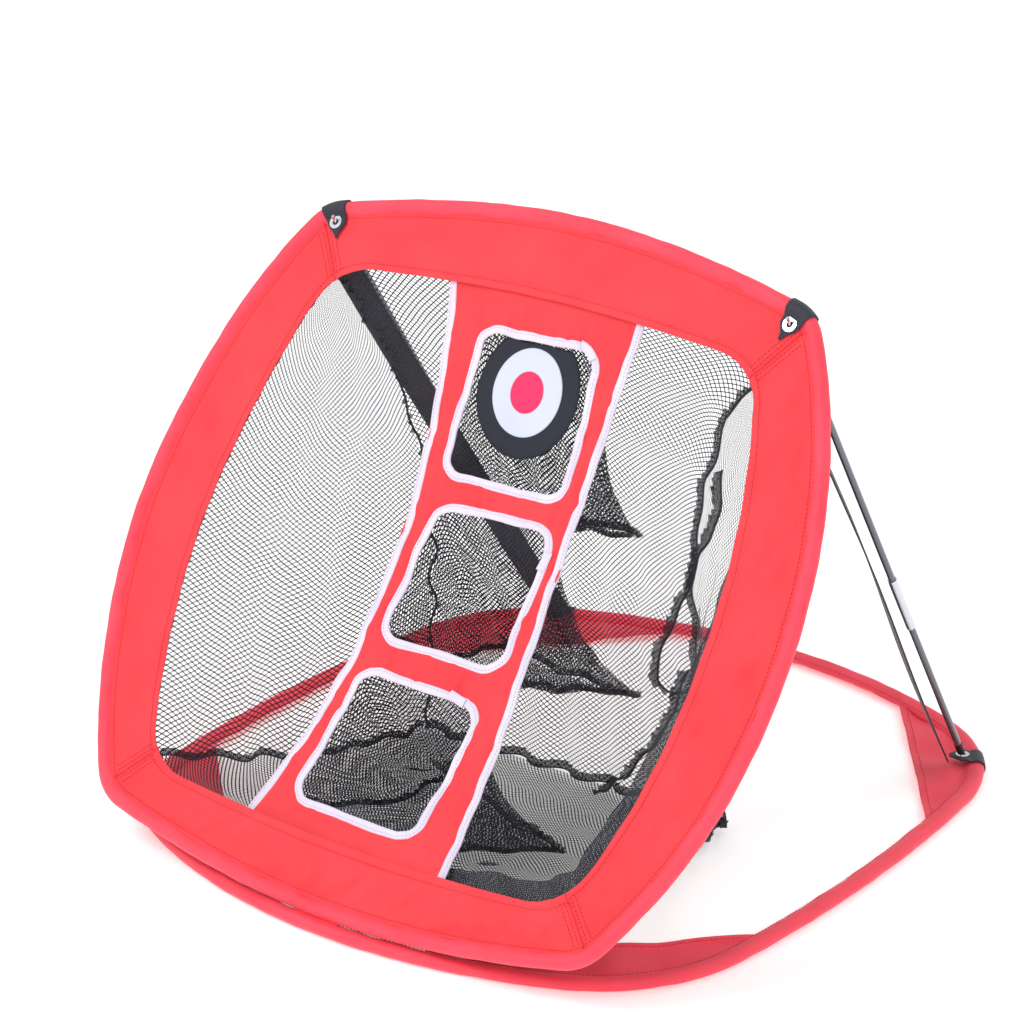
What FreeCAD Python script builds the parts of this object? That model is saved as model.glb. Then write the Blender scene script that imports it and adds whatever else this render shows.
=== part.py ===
"""Pop-up chipping net: a sprung wire panel that leans back over a sprung wire base.

Millimetres, +Z up. The origin is on the ground under the middle of the base, -Y is
the front, where the balls come from, and the panel turns about the front edge.
"""
import FreeCAD, Part
import math
import os
from FreeCAD import Placement, Rotation, Vector

os.makedirs("parts", exist_ok=True)
doc = FreeCAD.newDocument("chipping_net")

# ---------------------------------------------------------------- driving sizes
SIZES = {
    # leaning panel, measured over its sleeve
    "panel_width": 680,
    "panel_height": 622,
    "panel_side_bulge": 83,
    "panel_end_bulge": 34,
    "panel_corner": 47,
    "panel_lean": 55.9,
    "panel_foot_y": -342.4,
    "panel_foot_z": 17.2,
    # opening in the panel's cloth border
    "opening_width": 526,
    "opening_height": 485,
    "opening_side_bulge": 45,
    "opening_end_bulge": 11.5,
    "opening_corner": 57,
    "opening_middle": 298.6,
    # base hoop on the ground
    "base_width": 642,
    "base_depth": 712,
    "base_side_bulge": 22,
    "base_end_bulge": 95,
    "base_corner": 165,
    # hoops and cloth
    "sleeve_dia": 12,
    "wire_dia": 2.5,
    "wire_play": 3.5,
    "cloth": 1.0,
    "binding_thick": 2.4,
    "binding_width": 7,
    # target strip and its windows
    "strip_end_width": 206,
    "strip_waist": 166,
    "strip_sag": 36,
    "strip_tuck": 4,
    "window_width": 118,
    "window_height": 120,
    "window_corner": 16,
    "window_pitch": 152,
    "window_middle": 295.5,
    # bullseye flap
    "flap_radius": 52,
    "flap_drop": 91,
    "ring_radius": 35,
    "eye_radius": 16.5,
    "print_thick": 0.4,
    # poles
    "rod_dia": 6.4,
    "rod_bore": 4.2,
    "cord_dia": 2.5,
    "ferrule_dia": 8.4,
    "ferrule_long": 62,
    "pin_dia": 3,
    "pin_reach": 8,
    # webbing
    "tab_width": 24,
    "tab_thick": 1.6,
    "strap_width": 25,
    "eyelet_dia": 12.5,
    "eyelet_hole": 6,
    "eyelet_rim": 0.8,
    # net
    "net_thick": 1.2,
}

sheet = doc.addObject("Spreadsheet::Sheet", "sizes")
for row, (alias, value) in enumerate(SIZES.items(), start=1):
    sheet.set(f"A{row}", alias)
    sheet.set(f"B{row}", str(value))
    sheet.setAlias(f"B{row}", alias)
doc.recompute()


def size(alias):
    """A driving size, as the spreadsheet holds it."""
    return float(sheet.get(alias))


X_AXIS = Vector(1, 0, 0)
Z_AXIS = Vector(0, 0, 1)
LEAN = math.radians(size("panel_lean"))
FOOT = Vector(0, size("panel_foot_y"), size("panel_foot_z"))
UP_PANEL = Vector(0, math.cos(LEAN), math.sin(LEAN))
PANEL_FRONT = Vector(0, -math.sin(LEAN), math.cos(LEAN))
SLEEVE = size("sleeve_dia") / 2
CLOTH = size("cloth")
PANEL_MIDDLE = (size("panel_height") - size("sleeve_dia")) / 2
OPENING_MIDDLE = size("opening_middle")
OPENING_TOP = OPENING_MIDDLE + size("opening_height") / 2
OPENING_FOOT = OPENING_MIDDLE - size("opening_height") / 2
SIDES = (("left", -1), ("right", 1))

nodes = {}


# ---------------------------------------------------------------- helpers
def on_panel(across, up, out=0.0):
    """A point given in the panel's own plane, in the part's frame."""
    return FOOT + X_AXIS * across + UP_PANEL * up + PANEL_FRONT * out


def label(name, obj):
    """Make an object a node, which is written to a file of its own."""
    obj.Label = name
    nodes[name] = obj
    return obj


def lean_back(obj):
    """Tilt an object drawn flat in the panel's plane to where the panel stands."""
    obj.Placement = Placement(FOOT, Rotation(X_AXIS, size("panel_lean")))
    obj.setExpression("Placement.Rotation.Angle", "sizes.panel_lean")
    obj.setExpression("Placement.Base.y", "sizes.panel_foot_y")
    obj.setExpression("Placement.Base.z", "sizes.panel_foot_z")
    return obj


def shape_object(name, shape):
    obj = doc.addObject("Part::Feature", name)
    obj.Shape = shape
    return obj


def combine(kind, name, base, tool):
    """A Part::Cut or Part::Common of two objects."""
    obj = doc.addObject(f"Part::{kind}", name)
    obj.Base = base
    obj.Tool = tool
    return obj


def fuse(name, objects):
    obj = doc.addObject("Part::MultiFuse", name)
    obj.Shapes = objects
    return obj


def extrude(name, face, thickness, direction=Z_AXIS, symmetric=True):
    """Give a flat face a thickness, which may be the name of a driving size."""
    obj = doc.addObject("Part::Extrusion", name)
    obj.Base = shape_object(f"{name}_face", face)
    obj.DirMode = "Custom"
    obj.Dir = direction
    obj.Solid = True
    obj.Symmetric = symmetric
    if isinstance(thickness, str):
        obj.setExpression("LengthFwd", f"sizes.{thickness}")
    else:
        obj.LengthFwd = thickness
    return obj


def copy_of(name, source):
    """A node's own copy of an object that other pieces are also cut with."""
    obj = doc.addObject("Part::Refine", name)
    obj.Source = source
    return obj


def polygon_face(points):
    return Part.Face(Part.makePolygon(list(points) + [points[0]]))


def rounded_rect(width, height, corner, up):
    """A rounded rectangle in the panel's plane, its middle at a height up the panel."""
    half_w, half_h = width / 2 - corner, height / 2 - corner
    edges = []
    for turn, (sx, sy) in enumerate(((1, 1), (-1, 1), (-1, -1), (1, -1))):
        centre = Vector(sx * half_w, up + sy * half_h, 0)
        start = math.radians(90 * turn)
        edges.append(arc(centre, corner, start, start + math.pi / 2))
    corners = []
    for here, after in zip(edges, edges[1:] + edges[:1]):
        corners += [here, Part.LineSegment(here.Vertexes[-1].Point, after.Vertexes[0].Point).toShape()]
    return Part.Face(Part.Wire(corners))


def arc(centre, radius, start, end):
    """An arc in the XY plane between two angles in radians."""
    points = []
    for angle in (start, (start + end) / 2, end):
        points.append(centre + Vector(math.cos(angle), math.sin(angle), 0) * radius)
    return Part.Arc(*points).toShape()


class Hoop:
    """A rounded square whose four sides bulge outwards, as a sprung wire loop's do."""

    def __init__(self, prefix, middle, inset=0.0):
        half_w = size(f"{prefix}_width") / 2
        second = "depth" if prefix == "base" else "height"
        half_h = size(f"{prefix}_{second}") / 2
        side, end = size(f"{prefix}_side_bulge"), size(f"{prefix}_end_bulge")
        corner = size(f"{prefix}_corner")
        chord_w, chord_h = half_w - side, half_h - end
        end_radius = (chord_w**2 + end**2) / (2 * end)
        side_radius = (chord_h**2 + side**2) / (2 * side)
        self.middle = Vector(0, middle, 0)
        self.end_offset = end_radius - half_h
        self.side_offset = side_radius - half_w
        self.corner_centre = self._corner_centre(end_radius - corner, side_radius - corner)
        self.end_radius = end_radius - inset
        self.side_radius = side_radius - inset
        self.corner = corner - inset

    def _corner_centre(self, end_reach, side_reach):
        """Where the corner arc's centre lies: at both reaches from the long arcs' centres."""
        first = Vector(0, -self.end_offset, 0)
        second = Vector(-self.side_offset, 0, 0)
        apart = (second - first).Length
        along = (apart**2 + end_reach**2 - side_reach**2) / (2 * apart)
        aside = math.sqrt(end_reach**2 - along**2)
        direction = (second - first).normalize()
        return first + direction * along + Vector(direction.y, -direction.x, 0) * aside

    def wire(self):
        """The closed outline, starting at the middle of the right side."""
        cx, cy = self.corner_centre.x, self.corner_centre.y
        side_turn = math.atan2(cy, cx + self.side_offset)
        end_turn = math.atan2(cx, cy + self.end_offset)
        quarter = math.pi / 2
        edges = []
        for turn in range(4):
            flip = turn * quarter
            across = turn % 2 == 0
            offset = self.side_offset if across else self.end_offset
            radius = self.side_radius if across else self.end_radius
            before = side_turn if across else end_turn
            after = end_turn if across else side_turn
            long_centre = self.middle - Vector(math.cos(flip), math.sin(flip), 0) * offset
            sx, sy = ((1, 1), (-1, 1), (-1, -1), (1, -1))[turn]
            corner_centre = self.middle + Vector(sx * cx, sy * cy, 0)
            if turn == 0:
                edges.append(arc(long_centre, radius, 0, before))
            else:
                edges.append(arc(long_centre, radius, flip - before, flip + before))
            edges.append(arc(corner_centre, self.corner, flip + before, flip + quarter - after))
        right_centre = self.middle - Vector(self.side_offset, 0, 0)
        edges.append(arc(right_centre, self.side_radius, -side_turn, 0))
        return Part.Wire(edges)

    def face(self):
        return Part.Face(self.wire())

    def start(self):
        return self.middle + Vector(self.side_radius - self.side_offset, 0, 0)

    def corner_point(self, sx, sy, angle, reach=None):
        """A point on a corner arc, or at another reach from its centre, at an angle in degrees."""
        turn = math.radians(angle)
        reach = self.corner if reach is None else reach
        centre = self.middle + Vector(sx * self.corner_centre.x, sy * self.corner_centre.y, 0)
        return centre + Vector(sx * math.cos(turn), sy * math.sin(turn), 0) * reach


def tube_along(name, hoop, diameter):
    """A round bar bent along a hoop's outline: a sweep whose section is bound to a size."""
    path = shape_object(f"{name}_path", hoop.wire())
    section = doc.addObject("Part::Circle", f"{name}_section")
    section.setExpression("Radius", diameter)
    section.Placement = Placement(hoop.start(), Rotation(X_AXIS, 90))
    sweep = doc.addObject("Part::Sweep", name)
    sweep.Sections = [section]
    sweep.Spine = (path, [f"Edge{i + 1}" for i in range(len(path.Shape.Edges))])
    sweep.Solid = True
    sweep.Frenet = False
    return sweep


def sprung_hoop(prefix, hoop):
    """A spring wire loop and the cloth sleeve that it runs in."""
    wire = tube_along(f"{prefix}_wire_bar", hoop, "sizes.wire_dia / 2")
    skin = tube_along(f"{prefix}_skin_bar", hoop, "sizes.sleeve_dia / 2")
    bore = tube_along(f"{prefix}_bore_bar", hoop, "sizes.wire_dia / 2 + sizes.wire_play")
    sleeve = combine("Cut", f"{prefix}_sleeve_cut", skin, bore)
    return label(f"{prefix}_hoop_wire", wire), label(f"{prefix}_hoop_sleeve", sleeve)


def tilt_to(direction):
    """The rotation that turns +Z to a direction."""
    return Rotation(Z_AXIS, direction)


# ---------------------------------------------------------------- panel hoop and border
panel_hoop = Hoop("panel", PANEL_MIDDLE, SLEEVE)
opening = Hoop("opening", OPENING_MIDDLE)
for bar in sprung_hoop("panel", panel_hoop):
    lean_back(bar)

cloth_edge = Hoop("panel", PANEL_MIDDLE, size("sleeve_dia") + 0.05)
border_blank = extrude("border_blank", cloth_edge.face(), "cloth")
border_hole = extrude("border_hole", opening.face(), 10)
border_ring = combine("Cut", "border_ring", border_blank, border_hole)
EYE_ACROSS, EYE_UP = 238, 567
PIN_HOLE = 3.2
for side, sx in SIDES:
    pin_hole = doc.addObject("Part::Cylinder", f"border_pin_hole_{side}")
    pin_hole.Radius, pin_hole.Height = PIN_HOLE, 10
    pin_hole.Placement.Base = Vector(sx * EYE_ACROSS, EYE_UP, -5)
    border_ring = combine("Cut", f"border_ring_{side}", border_ring, pin_hole)


def mitre_points(sx, sy):
    """The inner and outer ends of the mitre seam in one corner."""
    inner = opening.corner_point(sx, sy, 45, 0)
    outer = panel_hoop.corner_point(sx, sy, 45, 0)
    return inner, inner + (outer - inner).normalize() * 400


for name, (first, second) in {
    "top": ((-1, 1), (1, 1)),
    "bottom": ((-1, -1), (1, -1)),
    "left": ((-1, -1), (-1, 1)),
    "right": ((1, -1), (1, 1)),
}.items():
    inner_a, outer_a = mitre_points(*first)
    inner_b, outer_b = mitre_points(*second)
    wedge = extrude(f"wedge_{name}", polygon_face([inner_a, outer_a, outer_b, inner_b]), 10)
    strip = combine("Common", f"border_{name}_cut", border_ring, wedge)
    lean_back(label(f"panel_border_{name}", strip))

# the tape that the net is sewn to, behind the border's inner edge
TAPE_WIDTH = 8
TAPE_BACK = -5.6
tape_edge = Hoop("opening", OPENING_MIDDLE, -TAPE_WIDTH)
net_tape = combine(
    "Cut",
    "net_tape_cut",
    extrude("net_tape_blank", tape_edge.face(), "cloth"),
    extrude("net_tape_hole", opening.face(), 10),
)
lean_back(label("net_edge_tape", net_tape))
net_tape.Placement.Base = on_panel(0, 0, TAPE_BACK)
net_tape.setExpression("Placement.Base.y", None)
net_tape.setExpression("Placement.Base.z", None)

# ---------------------------------------------------------------- target strip
STRIP_ENDS = (OPENING_FOOT - size("strip_tuck"), OPENING_TOP + size("strip_tuck"))
STRIP_BACK = -(CLOTH + size("binding_thick")) / 2 - 0.2
STRIP_MID = sum(STRIP_ENDS) / 2
HALF_SPAN = (STRIP_ENDS[1] - STRIP_ENDS[0]) / 2
SAG_RADIUS = (HALF_SPAN**2 + size("strip_sag") ** 2) / (2 * size("strip_sag"))
SAG_CENTRE = STRIP_BACK - size("strip_sag") + SAG_RADIUS


def strip_back(up):
    """How far the middle of the strip's cloth lies in front of the panel's plane."""
    return SAG_CENTRE - math.sqrt(SAG_RADIUS**2 - (up - STRIP_MID) ** 2)


def sagging_band(name, thickness):
    """A cloth band across the panel, which sags backwards between its two ends."""
    centre = Vector(-200, STRIP_MID, SAG_CENTRE)
    half_turn = math.asin(HALF_SPAN / SAG_RADIUS)
    arcs = []
    for radius in (SAG_RADIUS - thickness / 2, SAG_RADIUS + thickness / 2):
        points = []
        for turn in (-half_turn, 0, half_turn):
            points.append(centre + Vector(0, math.sin(turn), -math.cos(turn)) * radius)
        arcs.append((Part.Arc(*points).toShape(), points))
    (inner, inner_points), (outer, outer_points) = arcs
    ends = [Part.makeLine(inner_points[i], outer_points[i]) for i in (0, -1)]
    face = Part.Face(Part.Wire(Part.__sortEdges__([inner, ends[1], outer, ends[0]])))
    return extrude(name, face, 400, X_AXIS, symmetric=False)


def strip_edge(sx, inset):
    """One long edge of the strip, drawn in towards its waist."""
    ends = sx * (size("strip_end_width") / 2 - inset)
    waist = sx * (size("strip_waist") / 2 - inset)
    low, high = STRIP_ENDS[0] - 2, STRIP_ENDS[1] + 2
    return Part.Arc(Vector(ends, low, 0), Vector(waist, STRIP_MID, 0), Vector(ends, high, 0)).toShape()


def strip_face(inset):
    left, right = strip_edge(-1, inset), strip_edge(1, inset)
    low = Part.makeLine(left.Vertexes[0].Point, right.Vertexes[0].Point)
    high = Part.makeLine(right.Vertexes[-1].Point, left.Vertexes[-1].Point)
    return Part.Face(Part.Wire(Part.__sortEdges__([low, right, high, left])))


def window_face(index, grow):
    up = size("window_middle") + (1 - index) * size("window_pitch")
    width, height = size("window_width") + 2 * grow, size("window_height") + 2 * grow
    return rounded_rect(width, height, size("window_corner") + grow, up)


WINDOWS = ("upper", "middle", "lower")
BINDING = size("binding_width")
DEEP = 200
cloth_band = sagging_band("strip_cloth_band", CLOTH)
binding_band = sagging_band("strip_binding_band", size("binding_thick"))

strip_outline = extrude("strip_outline", strip_face(BINDING / 3), DEEP)
for index, name in enumerate(WINDOWS):
    hole = extrude(f"strip_window_{name}", window_face(index, BINDING * 2 / 3), DEEP)
    strip_outline = combine("Cut", f"strip_less_{name}", strip_outline, hole)
strip_cloth = combine("Common", "strip_cloth", cloth_band, strip_outline)
lean_back(label("target_strip", copy_of("target_strip_node", strip_cloth)))


def folded_binding(name, face):
    """A tape folded over a cut edge of the strip: the strip's cloth runs into its fold."""
    prism = extrude(f"{name}_outline", face, DEEP)
    tape = combine("Common", f"{name}_tape", binding_band, prism)
    folded = combine("Cut", f"{name}_folded", tape, strip_cloth)
    return lean_back(label(name, folded))


for side, sx in SIDES:
    outer, inner = strip_edge(sx, 0), strip_edge(sx, BINDING)
    caps = [Part.makeLine(outer.Vertexes[i].Point, inner.Vertexes[i].Point) for i in (0, -1)]
    rim = Part.__sortEdges__([outer, caps[1], inner, caps[0]])
    folded_binding(f"strip_binding_{side}", Part.Face(Part.Wire(rim)))
for index, name in enumerate(WINDOWS):
    ring = window_face(index, BINDING).cut(window_face(index, 0))
    folded_binding(f"window_binding_{name}", ring.Faces[0])

# ---------------------------------------------------------------- bullseye flap
FLAP_TOP = size("window_middle") + size("window_pitch") + size("window_height") / 2 - 2.5
FLAP_FOOT = FLAP_TOP - size("flap_drop")
FLAP_BACK = 1.5
HINGE_OUT = strip_back(FLAP_TOP) - FLAP_BACK
FLAP_TILT = math.degrees(math.atan2(strip_back(FLAP_TOP) - strip_back(FLAP_FOOT), size("flap_drop")))
flap_middle = Vector(0, size("flap_radius") - size("flap_drop"), 0)


def hang_flap(obj, layer):
    """Hang a flat piece, drawn with its top edge at the origin, from the window's top."""
    turn = Rotation(X_AXIS, size("panel_lean") + FLAP_TILT)
    out = turn.multVec(Z_AXIS) * layer
    obj.Placement = Placement(on_panel(0, FLAP_TOP, HINGE_OUT) + out, turn)
    return obj


def flat_disc(name, radius, thickness):
    obj = doc.addObject("Part::Cylinder", name)
    obj.setExpression("Radius", f"sizes.{radius}")
    obj.setExpression("Height", f"sizes.{thickness}")
    obj.Placement.Base = flap_middle
    return obj


below_top = doc.addObject("Part::Box", "flap_trim")
below_top.Length, below_top.Width, below_top.Height = 200, 200, 20
below_top.Placement.Base = Vector(-100, -200, -10)
disc_blank = flat_disc("flap_disc_blank", "flap_radius", "cloth")
flap_disc = combine("Common", "flap_disc_cut", disc_blank, below_top)
hang_flap(label("target_disc", flap_disc), -CLOTH / 2)
eye_blank = flat_disc("eye_blank", "eye_radius", "print_thick")
ring_blank = flat_disc("ring_blank", "ring_radius", "print_thick")
ring_cut = combine("Cut", "target_ring_cut", ring_blank, eye_blank)
hang_flap(label("target_ring", ring_cut), CLOTH / 2)
hang_flap(label("target_bullseye", copy_of("bullseye_node", eye_blank)), CLOTH / 2)

# ---------------------------------------------------------------- catch pockets
NET = size("net_thick")
POCKET_HALF = size("window_width") / 2 + 5
MOUTH_BEHIND = 5.5
# each pocket's low back edge: how far up the panel, and how far behind it
POCKET_TAILS = {"upper": (383, -115), "middle": (273, -196), "lower": (151, -200)}


def wedge_prism(name, profile, half_width):
    """A prism across the panel, from a triangle given as (up, out) points."""
    points = [Vector(-half_width, up, out) for up, out in profile]
    return extrude(name, polygon_face(points), 2 * half_width, X_AXIS, symmetric=False)


for index, (name, tail) in enumerate(POCKET_TAILS.items()):
    middle = size("window_middle") + (1 - index) * size("window_pitch")
    reach = size("window_height") / 2 + 4
    mouth = [(middle + s * reach, strip_back(middle + s * reach) - MOUTH_BEHIND) for s in (1, -1)]
    (top_up, top_out), (low_up, low_out) = mouth
    outer = wedge_prism(f"pocket_{name}_outer", [mouth[0], mouth[1], tail], POCKET_HALF)
    fold = (tail[0] + NET * 0.6, tail[1] + NET * 3)
    hollow = [(top_up - NET * 1.6, top_out + 5), (low_up + NET * 1.6, low_out + 5), fold]
    inner = wedge_prism(f"pocket_{name}_hollow", hollow, POCKET_HALF - NET)
    lean_back(label(f"catch_pocket_{name}", combine("Cut", f"pocket_{name}_cut", outer, inner)))

# ---------------------------------------------------------------- net bag behind the opening
BAG_OUT = TAPE_BACK - 2.8
MOUTH_TOP_HALF, MOUTH_LOW_HALF = 204, 214
GROUND_HALF = 168
CURTAIN_FOOT_Y = 5
mouth_top = [on_panel(sx * MOUTH_TOP_HALF, OPENING_TOP - 2, BAG_OUT) for _, sx in SIDES]
mouth_low = [on_panel(sx * MOUTH_LOW_HALF, OPENING_FOOT + 3, BAG_OUT) for _, sx in SIDES]
curtain_foot = [Vector(sx * GROUND_HALF, CURTAIN_FOOT_Y, 3) for _, sx in SIDES]
bag_middle = Vector(0, -150, 200)


def net_sheet(name, points, shrink=2.5):
    """A thin net panel between corner points, drawn in a little from its neighbours."""
    centre = sum(points, Vector()) * (1 / len(points))
    inset = [p + (centre - p).normalize() * shrink for p in points]
    normal = (inset[1] - inset[0]).cross(inset[2] - inset[0]).normalize()
    if normal.dot(centre - bag_middle) < 0:
        normal = normal * -1
    return label(name, extrude(f"{name}_sheet", polygon_face(inset), "net_thick", normal))


net_sheet("net_curtain", [mouth_top[0], mouth_top[1], curtain_foot[1], curtain_foot[0]])
net_sheet("net_floor", [mouth_low[0], mouth_low[1], curtain_foot[1], curtain_foot[0]])
for index, (side, sx) in enumerate(SIDES):
    net_sheet(f"net_side_{side}", [mouth_top[index], mouth_low[index], curtain_foot[index]])

# ---------------------------------------------------------------- base hoop and gussets
base_hoop = Hoop("base", 0, SLEEVE)
lift = Vector(0, 0, SLEEVE)
for bar in sprung_hoop("base", base_hoop):
    bar.Placement = Placement(lift, Rotation())
    bar.setExpression("Placement.Base.z", "sizes.sleeve_dia / 2")

gusset_blank = extrude("gusset_blank", Hoop("base", 0, size("sleeve_dia") + 0.05).face(), "cloth")
gusset_blank.Placement.Base = lift
# the two ends of each gusset's free edge
GUSSET_EDGES = {
    "rear_right": (Vector(158, 312), Vector(294, 130)),
    "rear_left": (Vector(-97, 338), Vector(-250, 168)),
    "front_right": (Vector(300, -140), Vector(196, -238)),
    "front_left": (Vector(-300, -140), Vector(-196, -238)),
}
GUSSET_HOLLOW = 7
for name, (first, second) in GUSSET_EDGES.items():
    along = (second - first).normalize()
    middle = (first + second) * 0.5
    inward = Vector(-middle.x, -middle.y, 0).normalize()
    far = [second + along * 80, second + along * 80 - inward * 300]
    far += [first - along * 80 - inward * 300, first - along * 80]
    hem = Part.Arc(far[3], middle - inward * GUSSET_HOLLOW, far[0]).toShape()
    rim = Part.makePolygon(far)
    keep = extrude(f"gusset_{name}_area", Part.Face(Part.Wire([hem] + rim.Edges)), 60)
    label(f"base_gusset_{name}", combine("Common", f"gusset_{name}_cut", gusset_blank, keep))

patch = doc.addObject("Part::Box", "hinge_patch")
label("front_hinge_patch", patch)
patch.Length, patch.Width = 44, 9
patch.setExpression("Height", "sizes.cloth")
rim_line = Vector(0, SLEEVE - size("base_depth") / 2, SLEEVE)
gap = (FOOT - rim_line).normalize()
patch_turn = Rotation(Z_AXIS, gap)
patch_middle = (FOOT + rim_line) * 0.5
patch.Placement = Placement(patch_middle - patch_turn.multVec(Vector(22, 4.5, CLOTH / 2)), patch_turn)

# ---------------------------------------------------------------- corner tabs and eyelets
TAB = size("tab_thick")
EYELET_TALL = TAB + 2 * size("eyelet_rim")
HOLE_PLAY = 0.1


def bound_cylinder(name, radius, height, place):
    """A cylinder with its radius and height bound to driving sizes."""
    obj = doc.addObject("Part::Cylinder", name)
    obj.setExpression("Radius", radius)
    if isinstance(height, str):
        obj.setExpression("Height", height)
    else:
        obj.Height = height
    obj.Placement = place
    return obj


def tab_and_eyelet(name, eye, turn, rim_reach, tail_reach):
    """A webbing tab with a two-flange eyelet in it.

    The tab's long side runs along the turned +X, towards the hoop, and eye is the
    middle of the eyelet.
    """
    web = doc.addObject("Part::Box", f"{name}_web")
    web.Length = rim_reach + tail_reach
    web.setExpression("Width", "sizes.tab_width")
    web.setExpression("Height", "sizes.tab_thick")
    corner = Vector(-tail_reach, -size("tab_width") / 2, -TAB / 2)
    web.Placement = Placement(eye + turn.multVec(corner), turn)
    start = Placement(eye + turn.multVec(Vector(0, 0, -EYELET_TALL / 2)), turn)
    barrel_radius = "(sizes.eyelet_hole + 1.6) / 2"
    play = bound_cylinder(f"{name}_web_hole", f"{barrel_radius} + {HOLE_PLAY}", EYELET_TALL, start)
    label(f"{name}_tab", combine("Cut", f"{name}_tab_cut", web, play))
    tall = "sizes.tab_thick + 2 * sizes.eyelet_rim"
    pieces = [bound_cylinder(f"{name}_barrel", barrel_radius, tall, start)]
    for end, sign in (("back", -1), ("front", 1)):
        low = -EYELET_TALL / 2 if sign < 0 else TAB / 2
        place = Placement(eye + turn.multVec(Vector(0, 0, low)), turn)
        flange = f"{name}_{end}_flange"
        pieces.append(bound_cylinder(flange, "sizes.eyelet_dia / 2", "sizes.eyelet_rim", place))
    bore = bound_cylinder(f"{name}_bore", "sizes.eyelet_hole / 2", tall, start)
    spool = combine("Cut", f"{name}_eyelet_cut", fuse(f"{name}_spool", pieces), bore)
    label(f"{name}_eyelet", spool)


TAB_LIFT = 2.2
TAB_ANGLE = 67
panel_eyes, base_eyes = {}, {}
for side, sx in SIDES:
    diagonal = Rotation(Z_AXIS, TAB_ANGLE if sx > 0 else 180 - TAB_ANGLE)
    turn = Rotation(X_AXIS, size("panel_lean")) * diagonal
    panel_eyes[side] = on_panel(sx * EYE_ACROSS, EYE_UP, TAB_LIFT)
    tab_and_eyelet(f"panel_{side}", panel_eyes[side], turn, 4.5, 12)

BASE_EYE_ANGLES = {"left": 60, "right": 35}
for side, sx in SIDES:
    angle = BASE_EYE_ANGLES[side]
    eye = base_hoop.corner_point(sx, 1, angle, base_hoop.corner - 13)
    base_eyes[side] = eye + Vector(0, 0, size("sleeve_dia") + TAB / 2 + 0.3)
    turn = Rotation(Z_AXIS, angle if sx > 0 else 180 - angle)
    tab_and_eyelet(f"base_{side}", base_eyes[side], turn, 20, 13)

# ---------------------------------------------------------------- shock-corded poles
OPEN_GAP = 10
PIN_GAP = 4
PIVOT_LIFT = 5
CAP_LONG = 12
FERRULE_START = 0.385


def pole_piece(name, start, direction, long, radius, bore=None):
    """A bar or tube, its radius bound to the sheet, from a point along a direction."""
    place = Placement(start, tilt_to(direction))
    bar = bound_cylinder(f"{name}_bar", radius, long, place)
    if bore is None:
        return label(name, bar)
    hole = bound_cylinder(f"{name}_hole", bore, long, place)
    return label(name, combine("Cut", f"{name}_cut", bar, hole))


for side, sx in SIDES:
    top, foot = panel_eyes[side], base_eyes[side]
    direction = (top - foot).normalize()
    across_panel = direction.dot(PANEL_FRONT)
    long = (top - foot).Length
    start = foot + direction * PIVOT_LIFT
    rods_long = long - PIVOT_LIFT - OPEN_GAP / across_panel
    joint_at = rods_long * FERRULE_START
    rod, bore = "sizes.rod_dia / 2", "sizes.rod_bore / 2"
    lower_start = start + direction * CAP_LONG
    upper_start = start + direction * (joint_at + 0.4)
    upper_long = rods_long - joint_at - 0.4
    pole_piece(f"pole_{side}_foot_cap", start, direction, CAP_LONG - 0.2, "sizes.rod_dia / 2 + 0.4")
    pole_piece(f"pole_{side}_lower_rod", lower_start, direction, joint_at - CAP_LONG, rod, bore)
    pole_piece(f"pole_{side}_upper_rod", upper_start, direction, upper_long, rod, bore)
    ferrule, ferrule_bore = "sizes.ferrule_dia / 2", f"{rod} + 0.02"
    ferrule_long = size("ferrule_long")
    ferrule_start = start + direction * (joint_at - ferrule_long / 2)
    pole_piece(f"pole_{side}_ferrule", ferrule_start, direction, ferrule_long, ferrule, ferrule_bore)
    cord_long = rods_long - CAP_LONG - 12
    cord_start = lower_start + direction * 4
    pole_piece(f"pole_{side}_shock_cord", cord_start, direction, cord_long, "sizes.cord_dia / 2")
    pin_start = foot - direction * size("pin_reach") * 0.8
    pin_long = PIVOT_LIFT + size("pin_reach") * 0.8 - 0.1
    pole_piece(f"pole_{side}_foot_pin", pin_start, direction, pin_long, "sizes.pin_dia / 2")
    pin_back = OPEN_GAP / across_panel - PIN_GAP
    top_pin, reach = top - direction * pin_back, pin_back + size("pin_reach")
    pole_piece(f"panel_{side}_pin", top_pin, direction, reach, "sizes.pin_dia / 2")

# ---------------------------------------------------------------- webbing straps
# where each strap is sewn behind the panel, and how far inside the base's eyelet
STRAP_TOPS = {"left": (-216, 531, -9), "right": (232, 548, -9)}
STRAP_INSETS = {"left": 17, "right": 17}
for side, _ in SIDES:
    top = on_panel(*STRAP_TOPS[side])
    eye = base_eyes[side]
    inward = Vector(-eye.x, -eye.y, 0).normalize()
    foot = eye + inward * STRAP_INSETS[side] + Vector(0, 0, 3)
    along = (top - foot).normalize()
    across = Z_AXIS.cross(inward)
    across = (across - along * across.dot(along)).normalize()
    half = size("strap_width") / 2
    corners = [foot - across * half, foot + across * half, top + across * half, top - across * half]
    normal = along.cross(across)
    label(f"strap_{side}", extrude(f"strap_{side}_web", polygon_face(corners), "tab_thick", normal))

# ---------------------------------------------------------------- check and write
doc.recompute()
faulty = [o.Label for o in doc.Objects if {"Invalid", "Error"} & set(o.State)]
for name, obj in nodes.items():
    shape = obj.Shape
    if shape.isNull() or not shape.isValid() or not shape.Solids:
        faulty.append(name)
if faulty:
    raise RuntimeError(f"these pieces failed: {faulty}")
for name, obj in nodes.items():
    obj.Shape.exportStep(os.path.join("parts", f"{name}.step"))
    volume = obj.Shape.Volume / 1000
    print(f"{name}: {len(obj.Shape.Solids)} solid, {volume:.2f} cm3")
print(len(nodes), "nodes")
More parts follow.
